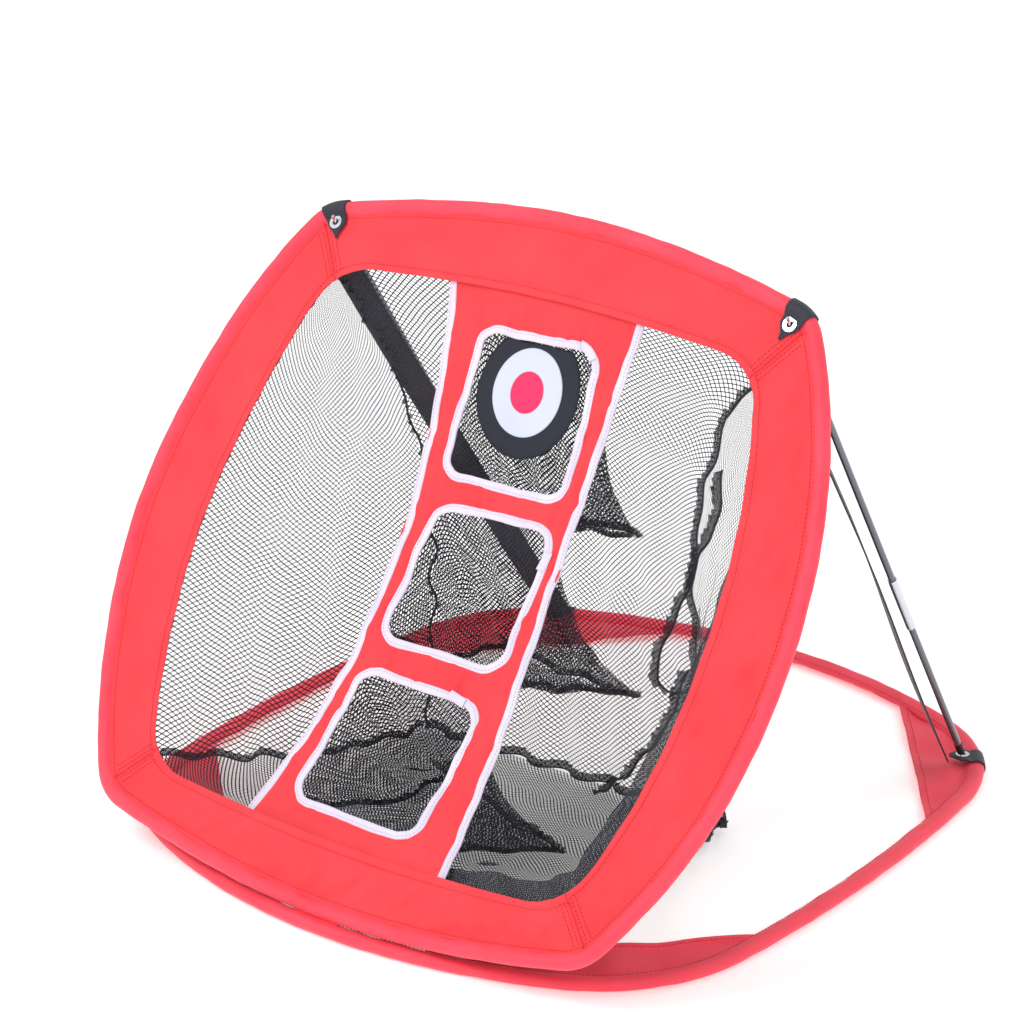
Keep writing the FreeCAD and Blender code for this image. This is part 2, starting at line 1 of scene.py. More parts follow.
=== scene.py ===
"""Looks of the pop-up chipping net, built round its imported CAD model.

Metres, +Z up, -Y to the front. The panel's own coordinates are across (u), up the panel
(v) and out of its front (n).
"""
import math

import bpy
import numpy as np
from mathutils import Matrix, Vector


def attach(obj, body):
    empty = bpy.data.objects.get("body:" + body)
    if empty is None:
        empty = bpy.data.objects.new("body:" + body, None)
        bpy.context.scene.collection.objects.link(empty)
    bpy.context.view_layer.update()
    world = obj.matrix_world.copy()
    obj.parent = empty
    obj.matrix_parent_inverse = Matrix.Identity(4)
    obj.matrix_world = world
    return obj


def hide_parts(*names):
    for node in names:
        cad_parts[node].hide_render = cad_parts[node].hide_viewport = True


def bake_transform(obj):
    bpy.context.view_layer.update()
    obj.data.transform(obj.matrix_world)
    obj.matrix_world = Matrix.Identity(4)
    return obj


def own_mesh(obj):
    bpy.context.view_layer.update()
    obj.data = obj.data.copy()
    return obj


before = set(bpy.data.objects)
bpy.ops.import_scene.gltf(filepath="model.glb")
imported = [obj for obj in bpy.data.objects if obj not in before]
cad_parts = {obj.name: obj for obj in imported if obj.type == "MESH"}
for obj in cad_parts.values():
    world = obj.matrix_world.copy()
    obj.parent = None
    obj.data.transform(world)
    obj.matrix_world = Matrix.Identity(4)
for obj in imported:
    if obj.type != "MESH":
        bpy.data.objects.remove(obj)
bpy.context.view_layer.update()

# ---- sizes
TURN = 2 * math.pi
LEAN = math.radians(55.9)
FOOT = np.array([0.0, -0.3424, 0.0172])
RIGHT = np.array([1.0, 0.0, 0.0])
UP_PANEL = np.array([0.0, math.cos(LEAN), math.sin(LEAN)])
PANEL_FRONT = np.array([0.0, -math.sin(LEAN), math.cos(LEAN)])
SLEEVE = 0.006
PANEL_MIDDLE = 0.305
OPENING_MIDDLE = 0.2986
OPENING_HEIGHT = 0.485
OPENING_TOP = OPENING_MIDDLE + OPENING_HEIGHT / 2
OPENING_FOOT = OPENING_MIDDLE - OPENING_HEIGHT / 2
STRIP_TUCK = 0.004
STRIP_ENDS = (OPENING_FOOT - STRIP_TUCK, OPENING_TOP + STRIP_TUCK)
STRIP_MID = sum(STRIP_ENDS) / 2
HALF_SPAN = (STRIP_ENDS[1] - STRIP_ENDS[0]) / 2
STRIP_BACK = -0.0019
STRIP_SAG = 0.036
STRIP_END_HALF = 0.103
STRIP_WAIST_HALF = 0.083
BINDING_WIDE = 0.0076
BINDING_THICK = 0.0024
WINDOW_SIZE = (0.118, 0.120)
WINDOW_CORNER = 0.016
WINDOW_UP = {"upper": 0.4475, "middle": 0.2955, "lower": 0.1435}
FLAP_RADIUS = 0.052
FLAP_DROP = 0.091
RING_RADIUS = 0.035
EYE_RADIUS = 0.0165
FLAP_TOP = 0.505
FLAP_ASIDE = 0.003
FLAP_STRETCH = 1.07
FLAP_TUCK = 0.002
GUSSET_HOLLOW = 0.001
EYES_ON_PANEL = {"left": (-0.238, 0.567), "right": (0.238, 0.567)}
SIDES = (("left", -1), ("right", 1))


# ---- drawing helpers
def uneven(u, v):
    """How far the sprung hoop pulls the cloth off its drawn outline, across and up the panel."""
    low_left = np.exp(-((u + 0.29) ** 2 + (v - 0.03) ** 2) / 0.09**2)
    low_right = smooth(u, 0.08, 0.30) * bell(v - 0.15, 0.11)
    mid_left = smooth(-u, 0.12, 0.30) * bell(v - 0.40, 0.09)
    top = smooth(v, 0.48, 0.60) * bell(u, 0.13)
    return 0.0034 * (low_right + mid_left) - 0.0028 * low_left, 0.0030 * top - 0.0026 * low_left


def panel(u, v, n):
    """Points in the panel's coordinates, in the part's frame."""
    u, v, n = np.broadcast_arrays(u, v, n)
    aside, above = uneven(u, v)
    u, v = u + aside, v + above
    return FOOT + u[..., None] * RIGHT + v[..., None] * UP_PANEL + n[..., None] * PANEL_FRONT


def unit(vectors):
    return vectors / np.linalg.norm(vectors, axis=-1, keepdims=True)


def run_of(points):
    """How far along a line each of its points is."""
    return np.concatenate([[0], np.cumsum(np.linalg.norm(np.diff(points, axis=0), axis=1))])


def length_of(points):
    return float(run_of(points)[-1])


def sample(at, run, values):
    """A line's values at some distances along it."""
    return np.stack([np.interp(at, run, column) for column in values.T], axis=-1)


def resample(points, count):
    """The same line with its points evenly spaced."""
    run = run_of(points)
    return sample(np.linspace(0, run[-1], count), run, points)


def lifted(grid, low):
    """Keep a grid's points at or above a height."""
    grid[..., 2] = np.maximum(grid[..., 2], low)
    return grid


def waves(x, y, wavelength, seed, count=7):
    """A smooth random height between about -1 and 1: sine waves in several directions."""
    own = np.random.default_rng(seed)
    total = np.zeros(np.broadcast(x, y).shape)
    for _ in range(count):
        turn, share, phase = own.uniform(0, TURN), own.uniform(0.5, 1.5), own.uniform(0, TURN)
        pitch = wavelength * share
        total += np.sin(TURN * (x * math.cos(turn) + y * math.sin(turn)) / pitch + phase)
    return total / math.sqrt(count) / 1.4


def smooth(x, low, high):
    t = np.clip((x - low) / (high - low), 0, 1)
    return t * t * (3 - 2 * t)


def bell(x, wide):
    return np.exp(-((x / wide) ** 2))


def hump(share):
    """Rises from 0 to 1 and falls back to 0 along a share from 0 to 1."""
    return np.sin(math.pi * share)


class Loop:
    """A rounded square whose four sides bulge outwards, drawn flat."""

    def __init__(self, width, height, side_bulge, end_bulge, corner, middle=0.0):
        half_w, half_h = width / 2, height / 2
        chord_w, chord_h = half_w - side_bulge, half_h - end_bulge
        self.end_radius = (chord_w**2 + end_bulge**2) / (2 * end_bulge)
        self.side_radius = (chord_h**2 + side_bulge**2) / (2 * side_bulge)
        self.end_offset = self.end_radius - half_h
        self.side_offset = self.side_radius - half_w
        self.corner, self.middle = corner, middle
        first, second = np.array([0, -self.end_offset]), np.array([-self.side_offset, 0])
        reach, other = self.end_radius - corner, self.side_radius - corner
        apart = np.linalg.norm(second - first)
        along = (apart**2 + reach**2 - other**2) / (2 * apart)
        aside = math.sqrt(reach**2 - along**2)
        way = (second - first) / apart
        self.corner_centre = first + way * along + np.array([way[1], -way[0]]) * aside

    def sides(self, inset, count):
        """Right, top, left and bottom, each from one corner's middle to the next, anticlockwise."""
        cx, cy = self.corner_centre
        side_turn = math.atan2(cy, cx + self.side_offset)
        end_turn = math.atan2(cx, cy + self.end_offset)

        def arc(centre, radius, start, end, steps):
            turn = np.linspace(start, end, steps)
            return np.array(centre) + radius * np.stack([np.cos(turn), np.sin(turn)], axis=1)

        bend = self.corner - inset
        lower = [
            arc((-self.side_offset, 0), self.side_radius - inset, 0, side_turn, 200),
            arc((cx, cy), bend, side_turn, math.pi / 4, 60)[1:],
        ]
        upper = [
            arc((cx, cy), bend, math.pi / 4, math.pi / 2 - end_turn, 60)[:-1],
            arc((0, -self.end_offset), self.end_radius - inset, math.pi / 2 - end_turn, math.pi / 2, 200),
        ]
        lower, upper = np.concatenate(lower), np.concatenate(upper)
        right = np.concatenate([lower[:0:-1] * [1, -1], lower])
        top = np.concatenate([upper, upper[-2::-1] * [-1, 1]])
        lines = [right, top, -right, -top]
        return [resample(line, count) + [0, self.middle] for line in lines]

    def whole(self, inset, count):
        """The whole outline, closed: its last point is its first."""
        lines = self.sides(inset, count)
        return np.concatenate([line[:-1] for line in lines] + [lines[0][:1]])


def outward_of(points, closed=False):
    """The unit normals of an anticlockwise flat line."""
    if closed:
        ahead = np.roll(points[:-1], -1, axis=0) - np.roll(points[:-1], 1, axis=0)
        ahead = np.concatenate([ahead, ahead[:1]])
    else:
        ahead = np.gradient(points, axis=0)
    ahead = unit(ahead)
    return np.stack([ahead[:, 1], -ahead[:, 0]], axis=1)


def normals_of(grid):
    """The unit normals of a grid of points."""
    along, across = np.gradient(grid, axis=0), np.gradient(grid, axis=1)
    normal = np.cross(along, across)
    return normal / np.maximum(np.linalg.norm(normal, axis=-1, keepdims=True), 1e-12)


def grid_uv(grid):
    """The cloth's own flat coordinates, in metres, from the mean spacing of a grid's lines."""
    down = np.linalg.norm(np.diff(grid, axis=0), axis=-1).mean(axis=1)
    over = np.linalg.norm(np.diff(grid, axis=1), axis=-1).mean(axis=0)
    rows, columns = np.concatenate([[0], np.cumsum(down)]), np.concatenate([[0], np.cumsum(over)])
    return np.stack(np.meshgrid(columns, rows), axis=-1)


def put(name, data):
    """A new object in the scene."""
    made = bpy.data.objects.new(name, data)
    bpy.context.scene.collection.objects.link(made)
    return made


def make_mesh(name, points, faces, material, body, uv=None, slot=None):
    mesh = bpy.data.meshes.new(name)
    mesh.from_pydata(points.reshape(-1, 3).tolist(), [], faces.tolist())
    if uv is not None:
        layer = mesh.uv_layers.new(name="UVMap")
        corner = np.zeros(len(mesh.loops), np.int32)
        mesh.loops.foreach_get("vertex_index", corner)
        layer.data.foreach_set("uv", uv.reshape(-1, 2)[corner].astype(np.float32).ravel())
    mesh.polygons.foreach_set("use_smooth", [True] * len(mesh.polygons))
    mesh.materials.append(material)
    piece = put(name, mesh)
    if body:
        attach(piece, body)
    slot = slot or SLOTS.get(material.name)
    return piece


def grid_faces(rows, columns, keep=None, closed=False):
    index = np.arange(rows * columns).reshape(rows, columns)
    if closed:
        index = np.concatenate([index, index[:, :1]], axis=1)
    faces = np.stack([index[:-1, :-1], index[:-1, 1:], index[1:, 1:], index[1:, :-1]], axis=-1)
    faces = faces.reshape(-1, 4)
    return faces if keep is None else faces[keep.ravel()]


def area_of(grid, keep=None):
    a, b = grid[:-1, 1:] - grid[:-1, :-1], grid[1:, :-1] - grid[:-1, :-1]
    c, d = grid[:-1, 1:] - grid[1:, 1:], grid[1:, :-1] - grid[1:, 1:]
    each = (np.linalg.norm(np.cross(a, b), axis=-1) + np.linalg.norm(np.cross(c, d), axis=-1)) / 2
    return float(each.sum() if keep is None else each[keep].sum())


def declare(piece, grid, keep=None, fullness=1.0):
    """Work out how much flat cloth a grid was cut from: its longest row and column, and its area. The
    figures are not kept; the piece comes back as it was.
    """
    wide = float(np.linalg.norm(np.diff(grid, axis=1), axis=-1).sum(axis=1).max()) * fullness
    long = float(np.linalg.norm(np.diff(grid, axis=0), axis=-1).sum(axis=0).max())
    area = min(area_of(grid, keep) * fullness, wide * long)
    area = max(area, 0.31 * wide * long)
    return piece


def cloth(
    name, grid, material, body, thickness=0.0009, keep=None, uv=None, closed=False, node=None, slot=None
):
    """A sheet over a grid of points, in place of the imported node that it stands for."""
    faces = grid_faces(*grid.shape[:2], keep, closed)
    piece = make_mesh(name, grid, faces, material, body, grid_uv(grid) if uv is None else uv, slot)
    if thickness:
        solid = piece.modifiers.new("cloth_thickness", "SOLIDIFY")
        solid.thickness, solid.offset = thickness, 0
    if node:
        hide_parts(node)
    return piece


def sweep(place, centre, outward, section):
    """A grid of points round a line: section gives (out of the line, off its plane) pairs."""
    flat = centre[:, None] + outward[:, None] * section[..., :1]
    return place(flat[..., 0], flat[..., 1], section[..., 1])


def round_section(half_wide, half_tall, sides=20, power=1.0):
    """A closed oval section, its last point its first."""
    turn = np.linspace(0, TURN, sides + 1)
    c, s = np.cos(turn), np.sin(turn)
    return np.stack(
        [half_wide * np.sign(c) * np.abs(c) ** power, half_tall * np.sign(s) * np.abs(s) ** power], axis=1
    )


def ribbon(path, aside, lift, wide, thick, sides=12):
    """A flat tape along a path in space: a grid of points round it."""
    section = round_section(wide / 2, thick / 2, sides, 0.6)
    return path[:, None] + aside[:, None] * section[:, :1] + lift[:, None] * section[:, 1:]


class Stitching:
    """Short thread stitches along many lines, gathered into one piece."""

    def __init__(self, name, material, body, radius=0.00034):
        self.name, self.material, self.body, self.radius = name, material, body, radius
        self.points, self.count = [], 0

    def along(self, path, normal, pitch=0.0036, long=0.0027):
        run = run_of(path)
        starts = np.arange(pitch / 2, run[-1] - long, pitch)
        part = np.linspace(0, 1, 5)
        at = starts[:, None] + part * long
        spine, up = sample(at, run, path), sample(at, run, normal)
        side = np.cross(up, unit(np.gradient(spine, axis=1)))
        spine = spine + up * (hump(part) * self.radius * 0.9 - self.radius * 0.1)[None, :, None]
        turn = np.arange(5) * TURN / 5
        girth = self.radius * (0.35 + 0.65 * hump(part) ** 0.5)
        ring = side[:, :, None] * np.cos(turn)[:, None] + up[:, :, None] * np.sin(turn)[:, None]
        self.points.append(spine[:, :, None] + ring * girth[None, :, None, None])
        self.count += len(starts)
        return self

    def make(self):
        points = np.concatenate(self.points)
        one = []
        for station in range(4):
            for k in range(5):
                here, after = station * 5 + k, station * 5 + (k + 1) % 5
                one.append([here, after, after + 5, here + 5])
        faces = (np.arange(self.count)[:, None, None] * 25 + np.array(one)).reshape(-1, 4)
        return make_mesh(self.name, points, faces, self.material, self.body)


# ---- materials
def dial(node, **values):
    """Set a node's inputs; an underscore stands for a space in an input's name."""
    for name, value in values.items():
        node.inputs[name.replace("_", " ")].default_value = value


def material(name, color, roughness, metallic=0.0, sheen=0.0, coat=0.0):
    made = bpy.data.materials.new(name)
    made.use_nodes = True
    shader = made.node_tree.nodes["Principled BSDF"]
    dial(shader, Base_Color=(*color, 1), Roughness=roughness, Metallic=metallic)
    dial(shader, Sheen_Weight=sheen, Coat_Weight=coat)
    return made


class Nodes:
    """Shorthand for building a material's node tree."""

    def __init__(self, made):
        self.tree = made.node_tree
        self.shader = made.node_tree.nodes["Principled BSDF"]

    def add(self, kind, **settings):
        node = self.tree.nodes.new(kind)
        for key, value in settings.items():
            setattr(node, key, value)
        return node

    def link(self, source, target):
        self.tree.links.new(source, target)

    def math(self, operation, first, second=None, third=None):
        node = self.add("ShaderNodeMath", operation=operation)
        for socket, value in zip(node.inputs, (first, second, third)):
            if value is None:
                continue
            if isinstance(value, (int, float)):
                socket.default_value = value
            else:
                self.link(value, socket)
        return node.outputs[0]

    def flat(self):
        """The cloth's flat coordinates in metres, as x and y."""
        where = self.add("ShaderNodeUVMap", uv_map="UVMap")
        split = self.add("ShaderNodeSeparateXYZ")
        self.link(where.outputs["UV"], split.inputs[0])
        return split.outputs[0], split.outputs[1], where.outputs["UV"]

    def noise(self, where, scale, detail, distortion=0.0):
        node = self.add("ShaderNodeTexNoise")
        dial(node, Scale=scale, Detail=detail, Distortion=distortion)
        self.link(where, node.inputs["Vector"])
        return node.outputs[0]

    def bump(self, height, strength, distance):
        node = self.add("ShaderNodeBump")
        dial(node, Strength=strength, Distance=distance)
        self.link(height, node.inputs["Height"])
        self.link(node.outputs["Normal"], self.shader.inputs["Normal"])


def woven(name, color, shade, roughness, thread=0.0009, creases=0.5, sheen=0.10, patch=26.0):
    """Plain woven cloth: over-and-under threads, faint creases, and painted shade: the colour mixed in
    random patches towards a darker shade of itself.
    """
    made = material(name, color, roughness, sheen=sheen)
    nodes = Nodes(made)
    x, y, flat = nodes.flat()
    warp = nodes.math("SINE", nodes.math("MULTIPLY", x, TURN / thread))
    weft = nodes.math("SINE", nodes.math("MULTIPLY", y, TURN / thread))
    weave = nodes.math("MULTIPLY", warp, weft)
    crease = nodes.noise(flat, patch, 4, 0.6)
    height = nodes.math("MULTIPLY_ADD", weave, 0.045, nodes.math("MULTIPLY", crease, creases))
    nodes.bump(height, 0.45, 0.0024)
    # painted shade: random patches of the darker colour stand in for the shading of the cloth's wrinkles
    painted_shade_patches = nodes.noise(flat, patch * 0.4, 5)
    mix = nodes.add("ShaderNodeMix", data_type="RGBA")
    dial(mix, A=(*shade, 1), B=(*color, 1))
    ramp = nodes.add("ShaderNodeMapRange")
    dial(ramp, From_Min=0.32, From_Max=0.62)
    nodes.link(painted_shade_patches, ramp.inputs["Value"])
    nodes.link(ramp.outputs[0], mix.inputs["Factor"])
    nodes.link(mix.outputs["Result"], nodes.shader.inputs["Base Color"])
    return made


def netting(name, color, cell, thread):
    """Knitted mesh: two crossing families of threads, cut out by alpha, knotted where they meet."""
    made = material(name, color, 0.6)
    nodes = Nodes(made)
    x, y, _ = nodes.flat()
    across, up = (nodes.math("MULTIPLY", value, 1 / size) for value, size in zip((x, y), cell))
    lines = [nodes.math("PINGPONG", nodes.math(way, across, up), 0.5) for way in ("ADD", "SUBTRACT")]
    near = nodes.math("MINIMUM", *lines)
    knot = nodes.math("ADD", *lines)
    on_thread = nodes.math("LESS_THAN", near, thread)
    on_knot = nodes.math("LESS_THAN", knot, thread * 2.4)
    nodes.link(nodes.math("MAXIMUM", on_thread, on_knot), nodes.shader.inputs["Alpha"])
    return made


def webbing(name, color):
    """Flat webbing: a close twill of ribs across the strap."""
    made = material(name, color, 0.62, sheen=0.15)
    nodes = Nodes(made)
    x, y, _ = nodes.flat()
    slant = nodes.math("ADD", nodes.math("MULTIPLY", y, 1 / 0.0016), nodes.math("MULTIPLY", x, 1 / 0.0032))
    rib = nodes.math("PINGPONG", slant, 0.5)
    ply = nodes.math("PINGPONG", nodes.math("MULTIPLY", x, 1 / 0.0021), 0.5)
    nodes.bump(nodes.math("MULTIPLY", rib, ply), 0.8, 0.0012)
    return made


# each woven look's second colour is its painted shade, mixed into it in random patches
RED = woven("red_polyester", (1.0, 0.043, 0.058), (0.86, 0.026, 0.041), 0.60)
PINK = woven("rim_polyester", (1.0, 0.064, 0.110), (0.90, 0.044, 0.082), 0.58, creases=0.3)
RED_THREAD = material("red_thread", (0.72, 0.02, 0.035), 0.6)
PALE_THREAD = material("pale_thread", (0.62, 0.56, 0.72), 0.6)
BINDING = woven("binding_tape", (0.88, 0.82, 0.95), (0.76, 0.69, 0.87), 0.6, thread=0.0007, creases=0.35)
WEBBING = webbing("black_webbing", (0.018, 0.020, 0.034))
NET = netting("black_net", (0.012, 0.014, 0.026), (0.0056, 0.0048), 0.115)
DENSE_NET = netting("black_net_dense", (0.012, 0.014, 0.026), (0.0044, 0.0037), 0.17)
NET_EDGE = netting("black_net_edge", (0.010, 0.012, 0.022), (0.0024, 0.0018), 0.30)
DISC = woven("disc_print", (0.011, 0.014, 0.028), (0.007, 0.009, 0.020), 0.7, creases=0.5, sheen=0.0)
RING = woven("ring_print", (0.70, 0.75, 0.90), (0.62, 0.67, 0.83), 0.6, creases=0.25)
BULLSEYE = woven("bullseye_print", (1.0, 0.020, 0.13), (0.92, 0.014, 0.11), 0.65, creases=0.25)
CHROME = material("nickel_plate", (0.80, 0.81, 0.84), 0.16, metallic=1.0)
FERRULE = material("drawn_tube", (0.66, 0.70, 0.76), 0.28, metallic=1.0)
ROD = material("resin_rod", (0.11, 0.12, 0.145), 0.18, metallic=0.5, coat=1.0)
CAP = material("moulded_cap", (0.012, 0.012, 0.016), 0.45)
CORD = material("shock_cord", (0.02, 0.02, 0.03), 0.7)
WIRE = material("spring_wire", (0.42, 0.43, 0.45), 0.3, metallic=1.0)

# the record's slot that each cloth or net look shows
SLOT_LOOKS = {
    "red_cloth": (RED, PINK, RED_THREAD),
    "white_binding": (BINDING, PALE_THREAD),
    "black_webbing": (WEBBING,),
    "black_net": (NET, DENSE_NET, NET_EDGE),
    "target_black": (DISC,),
    "target_white": (RING,),
    "target_pink": (BULLSEYE,),
}
SLOTS = {look.name: slot for slot, looks in SLOT_LOOKS.items() for look in looks}

# the looks of the hard nodes, by how their names end
FINISHES = {"eyelet": CHROME, "pin": CHROME, "ferrule": FERRULE, "rod": ROD, "cap": CAP}
FINISHES |= {"cord": CORD, "wire": WIRE}
for node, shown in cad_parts.items():
    finish = FINISHES.get(node.rsplit("_", 1)[-1])
    if finish:
        shown.data.materials.clear()
        shown.data.materials.append(finish)

# ---- panel sleeve and border
panel_loop = Loop(0.680, 0.622, 0.083, 0.034, 0.047, PANEL_MIDDLE)
opening_loop = Loop(0.526, OPENING_HEIGHT, 0.045, 0.0115, 0.057, OPENING_MIDDLE)
base_loop = Loop(0.642, 0.712, 0.022, 0.095, 0.165)

SIDE_NAMES = ("right", "top", "left", "bottom")
PANEL_BODY, BASE_BODY = "panel", "base"
SLEEVE_SIDES = 22


def sleeve_section(run, half_wide, half_tall, tail, seed):
    """A cloth tunnel's section along its length: oval, drawn out to a tail at its seam, and puckered."""
    oval = round_section(half_wide, half_tall, SLEEVE_SIDES)
    turn = np.linspace(0, TURN, SLEEVE_SIDES + 1)
    towards_seam = np.clip(-np.cos(turn), 0, 1) ** 2
    loop = TURN * run / run[-1]
    own = np.random.default_rng(seed)
    pucker = np.zeros((len(run), SLEEVE_SIDES + 1))
    for waves_round in (31, 47, 73, 101):
        phase = own.uniform(0, TURN)
        lag = np.round(own.uniform(1, 3)) * turn
        pucker += np.sin(waves_round * loop[:, None] + phase + lag) * (1.4 - waves_round / 110)
    pucker *= 0.018 + 0.035 * towards_seam
    section = oval[None] * (1 + pucker[..., None])
    section[..., 0] -= tail * towards_seam
    section[..., 1] *= 1 - 0.25 * towards_seam
    return section


def hoop_sleeve(body, loop, count, place, half_wide, half_tall, tail, seed):
    """The cloth sleeve round a body's hoop; returns the hoop's middle line and its normals."""
    centre = loop.whole(SLEEVE, count)
    outward = outward_of(centre, closed=True)
    grid = sweep(place, centre, outward, sleeve_section(run_of(centre), half_wide, half_tall, tail, seed))
    sleeve = cloth(f"{body}_sleeve", grid, PINK, body, 0, node=f"{body}_hoop_sleeve")
    declare(sleeve, grid)
    return centre, outward


hoop_sleeve(PANEL_BODY, panel_loop, 260, panel, SLEEVE, SLEEVE, 0.0015, 3)

BORDER_LONG, BORDER_WIDE = 260, 40
HEM_WIDE = 0.009
inner_sides = opening_loop.sides(0.0, BORDER_LONG)
outer_sides = panel_loop.sides(0.0118, BORDER_LONG)
red_stitches = Stitching("panel_stitches_red", RED_THREAD, PANEL_BODY)
for index, side in enumerate(SIDE_NAMES):
    inner, outer = inner_sides[index], outer_sides[index]
    across = np.linspace(0, 1, BORDER_WIDE)
    flat = inner[:, None] * (1 - across[:, None]) + outer[:, None] * across[:, None]
    wide = np.linalg.norm(outer - inner, axis=1)[:, None] * across
    along = np.linspace(0, 1, BORDER_LONG)[:, None]
    u, v = flat[..., 0], flat[..., 1]
    full = wide[:, -1:]
    from_end = np.minimum(along, 1 - along) * length_of(inner)
    calm = smooth(from_end, 0.0, 0.025)
    hold = smooth(wide, 0.004, 0.028) * smooth(full - wide, 0.0, 0.018)
    slack = 1.0 + 1.1 * smooth(-v, -0.16, 0.02) + (0.5 if side == "right" else 0.0)
    relief = waves(u, v, 0.085, 11 + index) * 0.0019 + waves(u, v, 0.032, 21 + index) * 0.0007
    pull = np.sin(TURN * along * 9 + index) * 0.0005 * smooth(0.03 - wide, 0.0, 0.03)
    hem = 0.0010 * (1 - smooth(wide, HEM_WIDE - 0.0008, HEM_WIDE + 0.0002))
    dimple = -0.0006 * bell(wide - HEM_WIDE + 0.0018, 0.0011)
    outer_roll = 0.0016 * bell(full - wide, 0.0045)
    outer_dip = -0.0008 * bell(full - wide - 0.0042, 0.0016)
    seam = -0.0009 * bell(from_end, 0.0016)
    seam += 0.0007 * bell(from_end - 0.0055, 0.003)
    height = (relief * slack * hold + pull) * calm + hem + dimple + outer_roll + outer_dip + seam
    grid = panel(u, v, height)
    piece = cloth(f"border_{side}", grid, RED, PANEL_BODY, 0.0008, node=f"panel_border_{side}")
    declare(piece, grid)
    normal = normals_of(grid)
    normal *= np.sign((normal @ PANEL_FRONT).mean())
    lift = normal * 0.0005
    hem_line = int(round((HEM_WIDE - 0.0018) / wide[BORDER_LONG // 2, -1] * (BORDER_WIDE - 1)))
    outer_line = BORDER_WIDE - 4
    red_stitches.along((grid + lift)[:, hem_line], normal[:, hem_line])
    red_stitches.along((grid + lift)[:, outer_line], normal[:, outer_line])
    for end in (2, 4, -5, -3):
        red_stitches.along((grid + lift)[end, 3:-3], normal[end, 3:-3])
red_stitches.make()

# the black tape behind the opening's edge, which the net is gathered on to
tape_line = opening_loop.whole(-0.0085, 320)
tape_out = outward_of(tape_line, closed=True)
tape_run = np.linspace(0, TURN, len(tape_line))
tape_section = np.repeat(round_section(0.0045, 0.0007, 12, 0.6)[None], len(tape_line), axis=0)
ruffle = 0.0006 * np.sin(tape_run * 96) + 0.0004 * np.sin(tape_run * 59 + 1)
tape_section[..., 1] += ruffle[:, None] * smooth(-tape_section[..., 0], -0.002, 0.005) - 0.0044
tape_grid = sweep(panel, tape_line, tape_out, tape_section)
net_tape = cloth("net_tape", tape_grid, WEBBING, PANEL_BODY, 0, node="net_edge_tape")

# ---- target strip
SAG_RADIUS = (HALF_SPAN**2 + STRIP_SAG**2) / (2 * STRIP_SAG)
SAG_CENTRE = STRIP_BACK - STRIP_SAG + SAG_RADIUS


def strip_back(v):
    """How far the strip's cloth lies in front of the panel's plane, at a height up the panel."""
    return SAG_CENTRE - np.sqrt(SAG_RADIUS**2 - (np.asarray(v) - STRIP_MID) ** 2)


def strip_half(v):
    share = (np.asarray(v) - STRIP_MID) / HALF_SPAN
    return STRIP_WAIST_HALF + (STRIP_END_HALF - STRIP_WAIST_HALF) * share**2


def strip_edge(v, sx):
    """One edge of the strip: fuller low on the right, and spread at the left one's foot."""
    v = np.asarray(v)
    full = 0.006 * bell(v - 0.19, 0.13) if sx > 0 else 0.006 * smooth(-v, -0.21, -0.06)
    return sx * (strip_half(v) + full)


def strip_relief(u, v):
    """Soft wrinkles in the strip: random waves of two sizes, the finer ones set closer across it."""
    return waves(u, v, 0.055, 31) * 0.0015 + waves(u * 2.2, v, 0.028, 32) * 0.0008


def on_strip(u, v, lift=0.0):
    """Points on the strip's face, raised off it."""
    calm = smooth(HALF_SPAN - np.abs(np.asarray(v) - STRIP_MID), 0.0, 0.03)
    return panel(u, v, strip_back(v) + strip_relief(np.asarray(u), np.asarray(v)) * calm + lift)


def rounded_rect(width, height, corner, middle, count):
    """A closed rounded rectangle, anticlockwise from its right side's foot."""
    half_w, half_h = width / 2 - corner, height / 2 - corner
    points = []
    for turn, (sx, sy) in enumerate(((1, 1), (-1, 1), (-1, -1), (1, -1))):
        angle = math.pi / 2 * turn + np.linspace(0, math.pi / 2, 24)
        points.append(
            np.stack([sx * half_w + corner * np.cos(angle), sy * half_h + corner * np.sin(angle)], axis=1)
        )
    points = np.concatenate(points)
    return resample(np.concatenate([points, points[:1]]), count) + [0, middle]


def wobbled(line, seed, amount):
    """A closed line with a hand-sewn waver that joins up with itself."""
    own = np.random.default_rng(seed)
    turn = np.linspace(0, TURN, len(line))
    waver = np.zeros(len(line))
    for k in (2, 3, 5, 8, 13):
        waver += own.normal() * np.sin(k * turn + own.uniform(0, TURN)) / k**0.6
    return line + outward_of(line, closed=True) * (waver * amount)[:, None]


def inside(points, outline):
    """Which points lie within a closed outline."""
    x, y = points[..., 0], points[..., 1]
    odd = np.zeros(x.shape, bool)
    for (ax, ay), (bx, by) in zip(outline[:-1], outline[1:]):
        crosses = (ay > y) != (by > y)
        if by != ay:
            odd ^= crosses & (x < (bx - ax) * (y - ay) / (by - ay) + ax)
    return odd


# how far each window's corners are off square: top left, top right, low right, low left
WINDOW_SKEW = {
    "upper": ((0.005, -0.001), (0.002, 0.001), (0.004, -0.001), (0.0, -0.002)),
    "middle": ((0.006, -0.003), (0.006, 0.002), (0.0, 0.0), (-0.003, 0.0)),
    "lower": ((-0.004, -0.003), (0.0, -0.006), (-0.004, -0.002), (-0.012, -0.001)),
}


def off_square(name, line):
    """A window's outline, pulled off square towards its own corners."""
    share = (line - [0, WINDOW_UP[name]]) / WINDOW_SIZE + 0.5
    right, high = share[:, :1], share[:, 1:]
    weights = (1 - right) * high, right * high, right * (1 - high), (1 - right) * (1 - high)
    return line + sum(weight * np.array(corner) for weight, corner in zip(weights, WINDOW_SKEW[name]))


WINDOW_RUN = 260
windows = {}
for index, (name, up) in enumerate(WINDOW_UP.items()):
    outline = rounded_rect(*WINDOW_SIZE, WINDOW_CORNER, up, WINDOW_RUN)
    windows[name] = wobbled(off_square(name, outline), 41 + index, 0.0006)

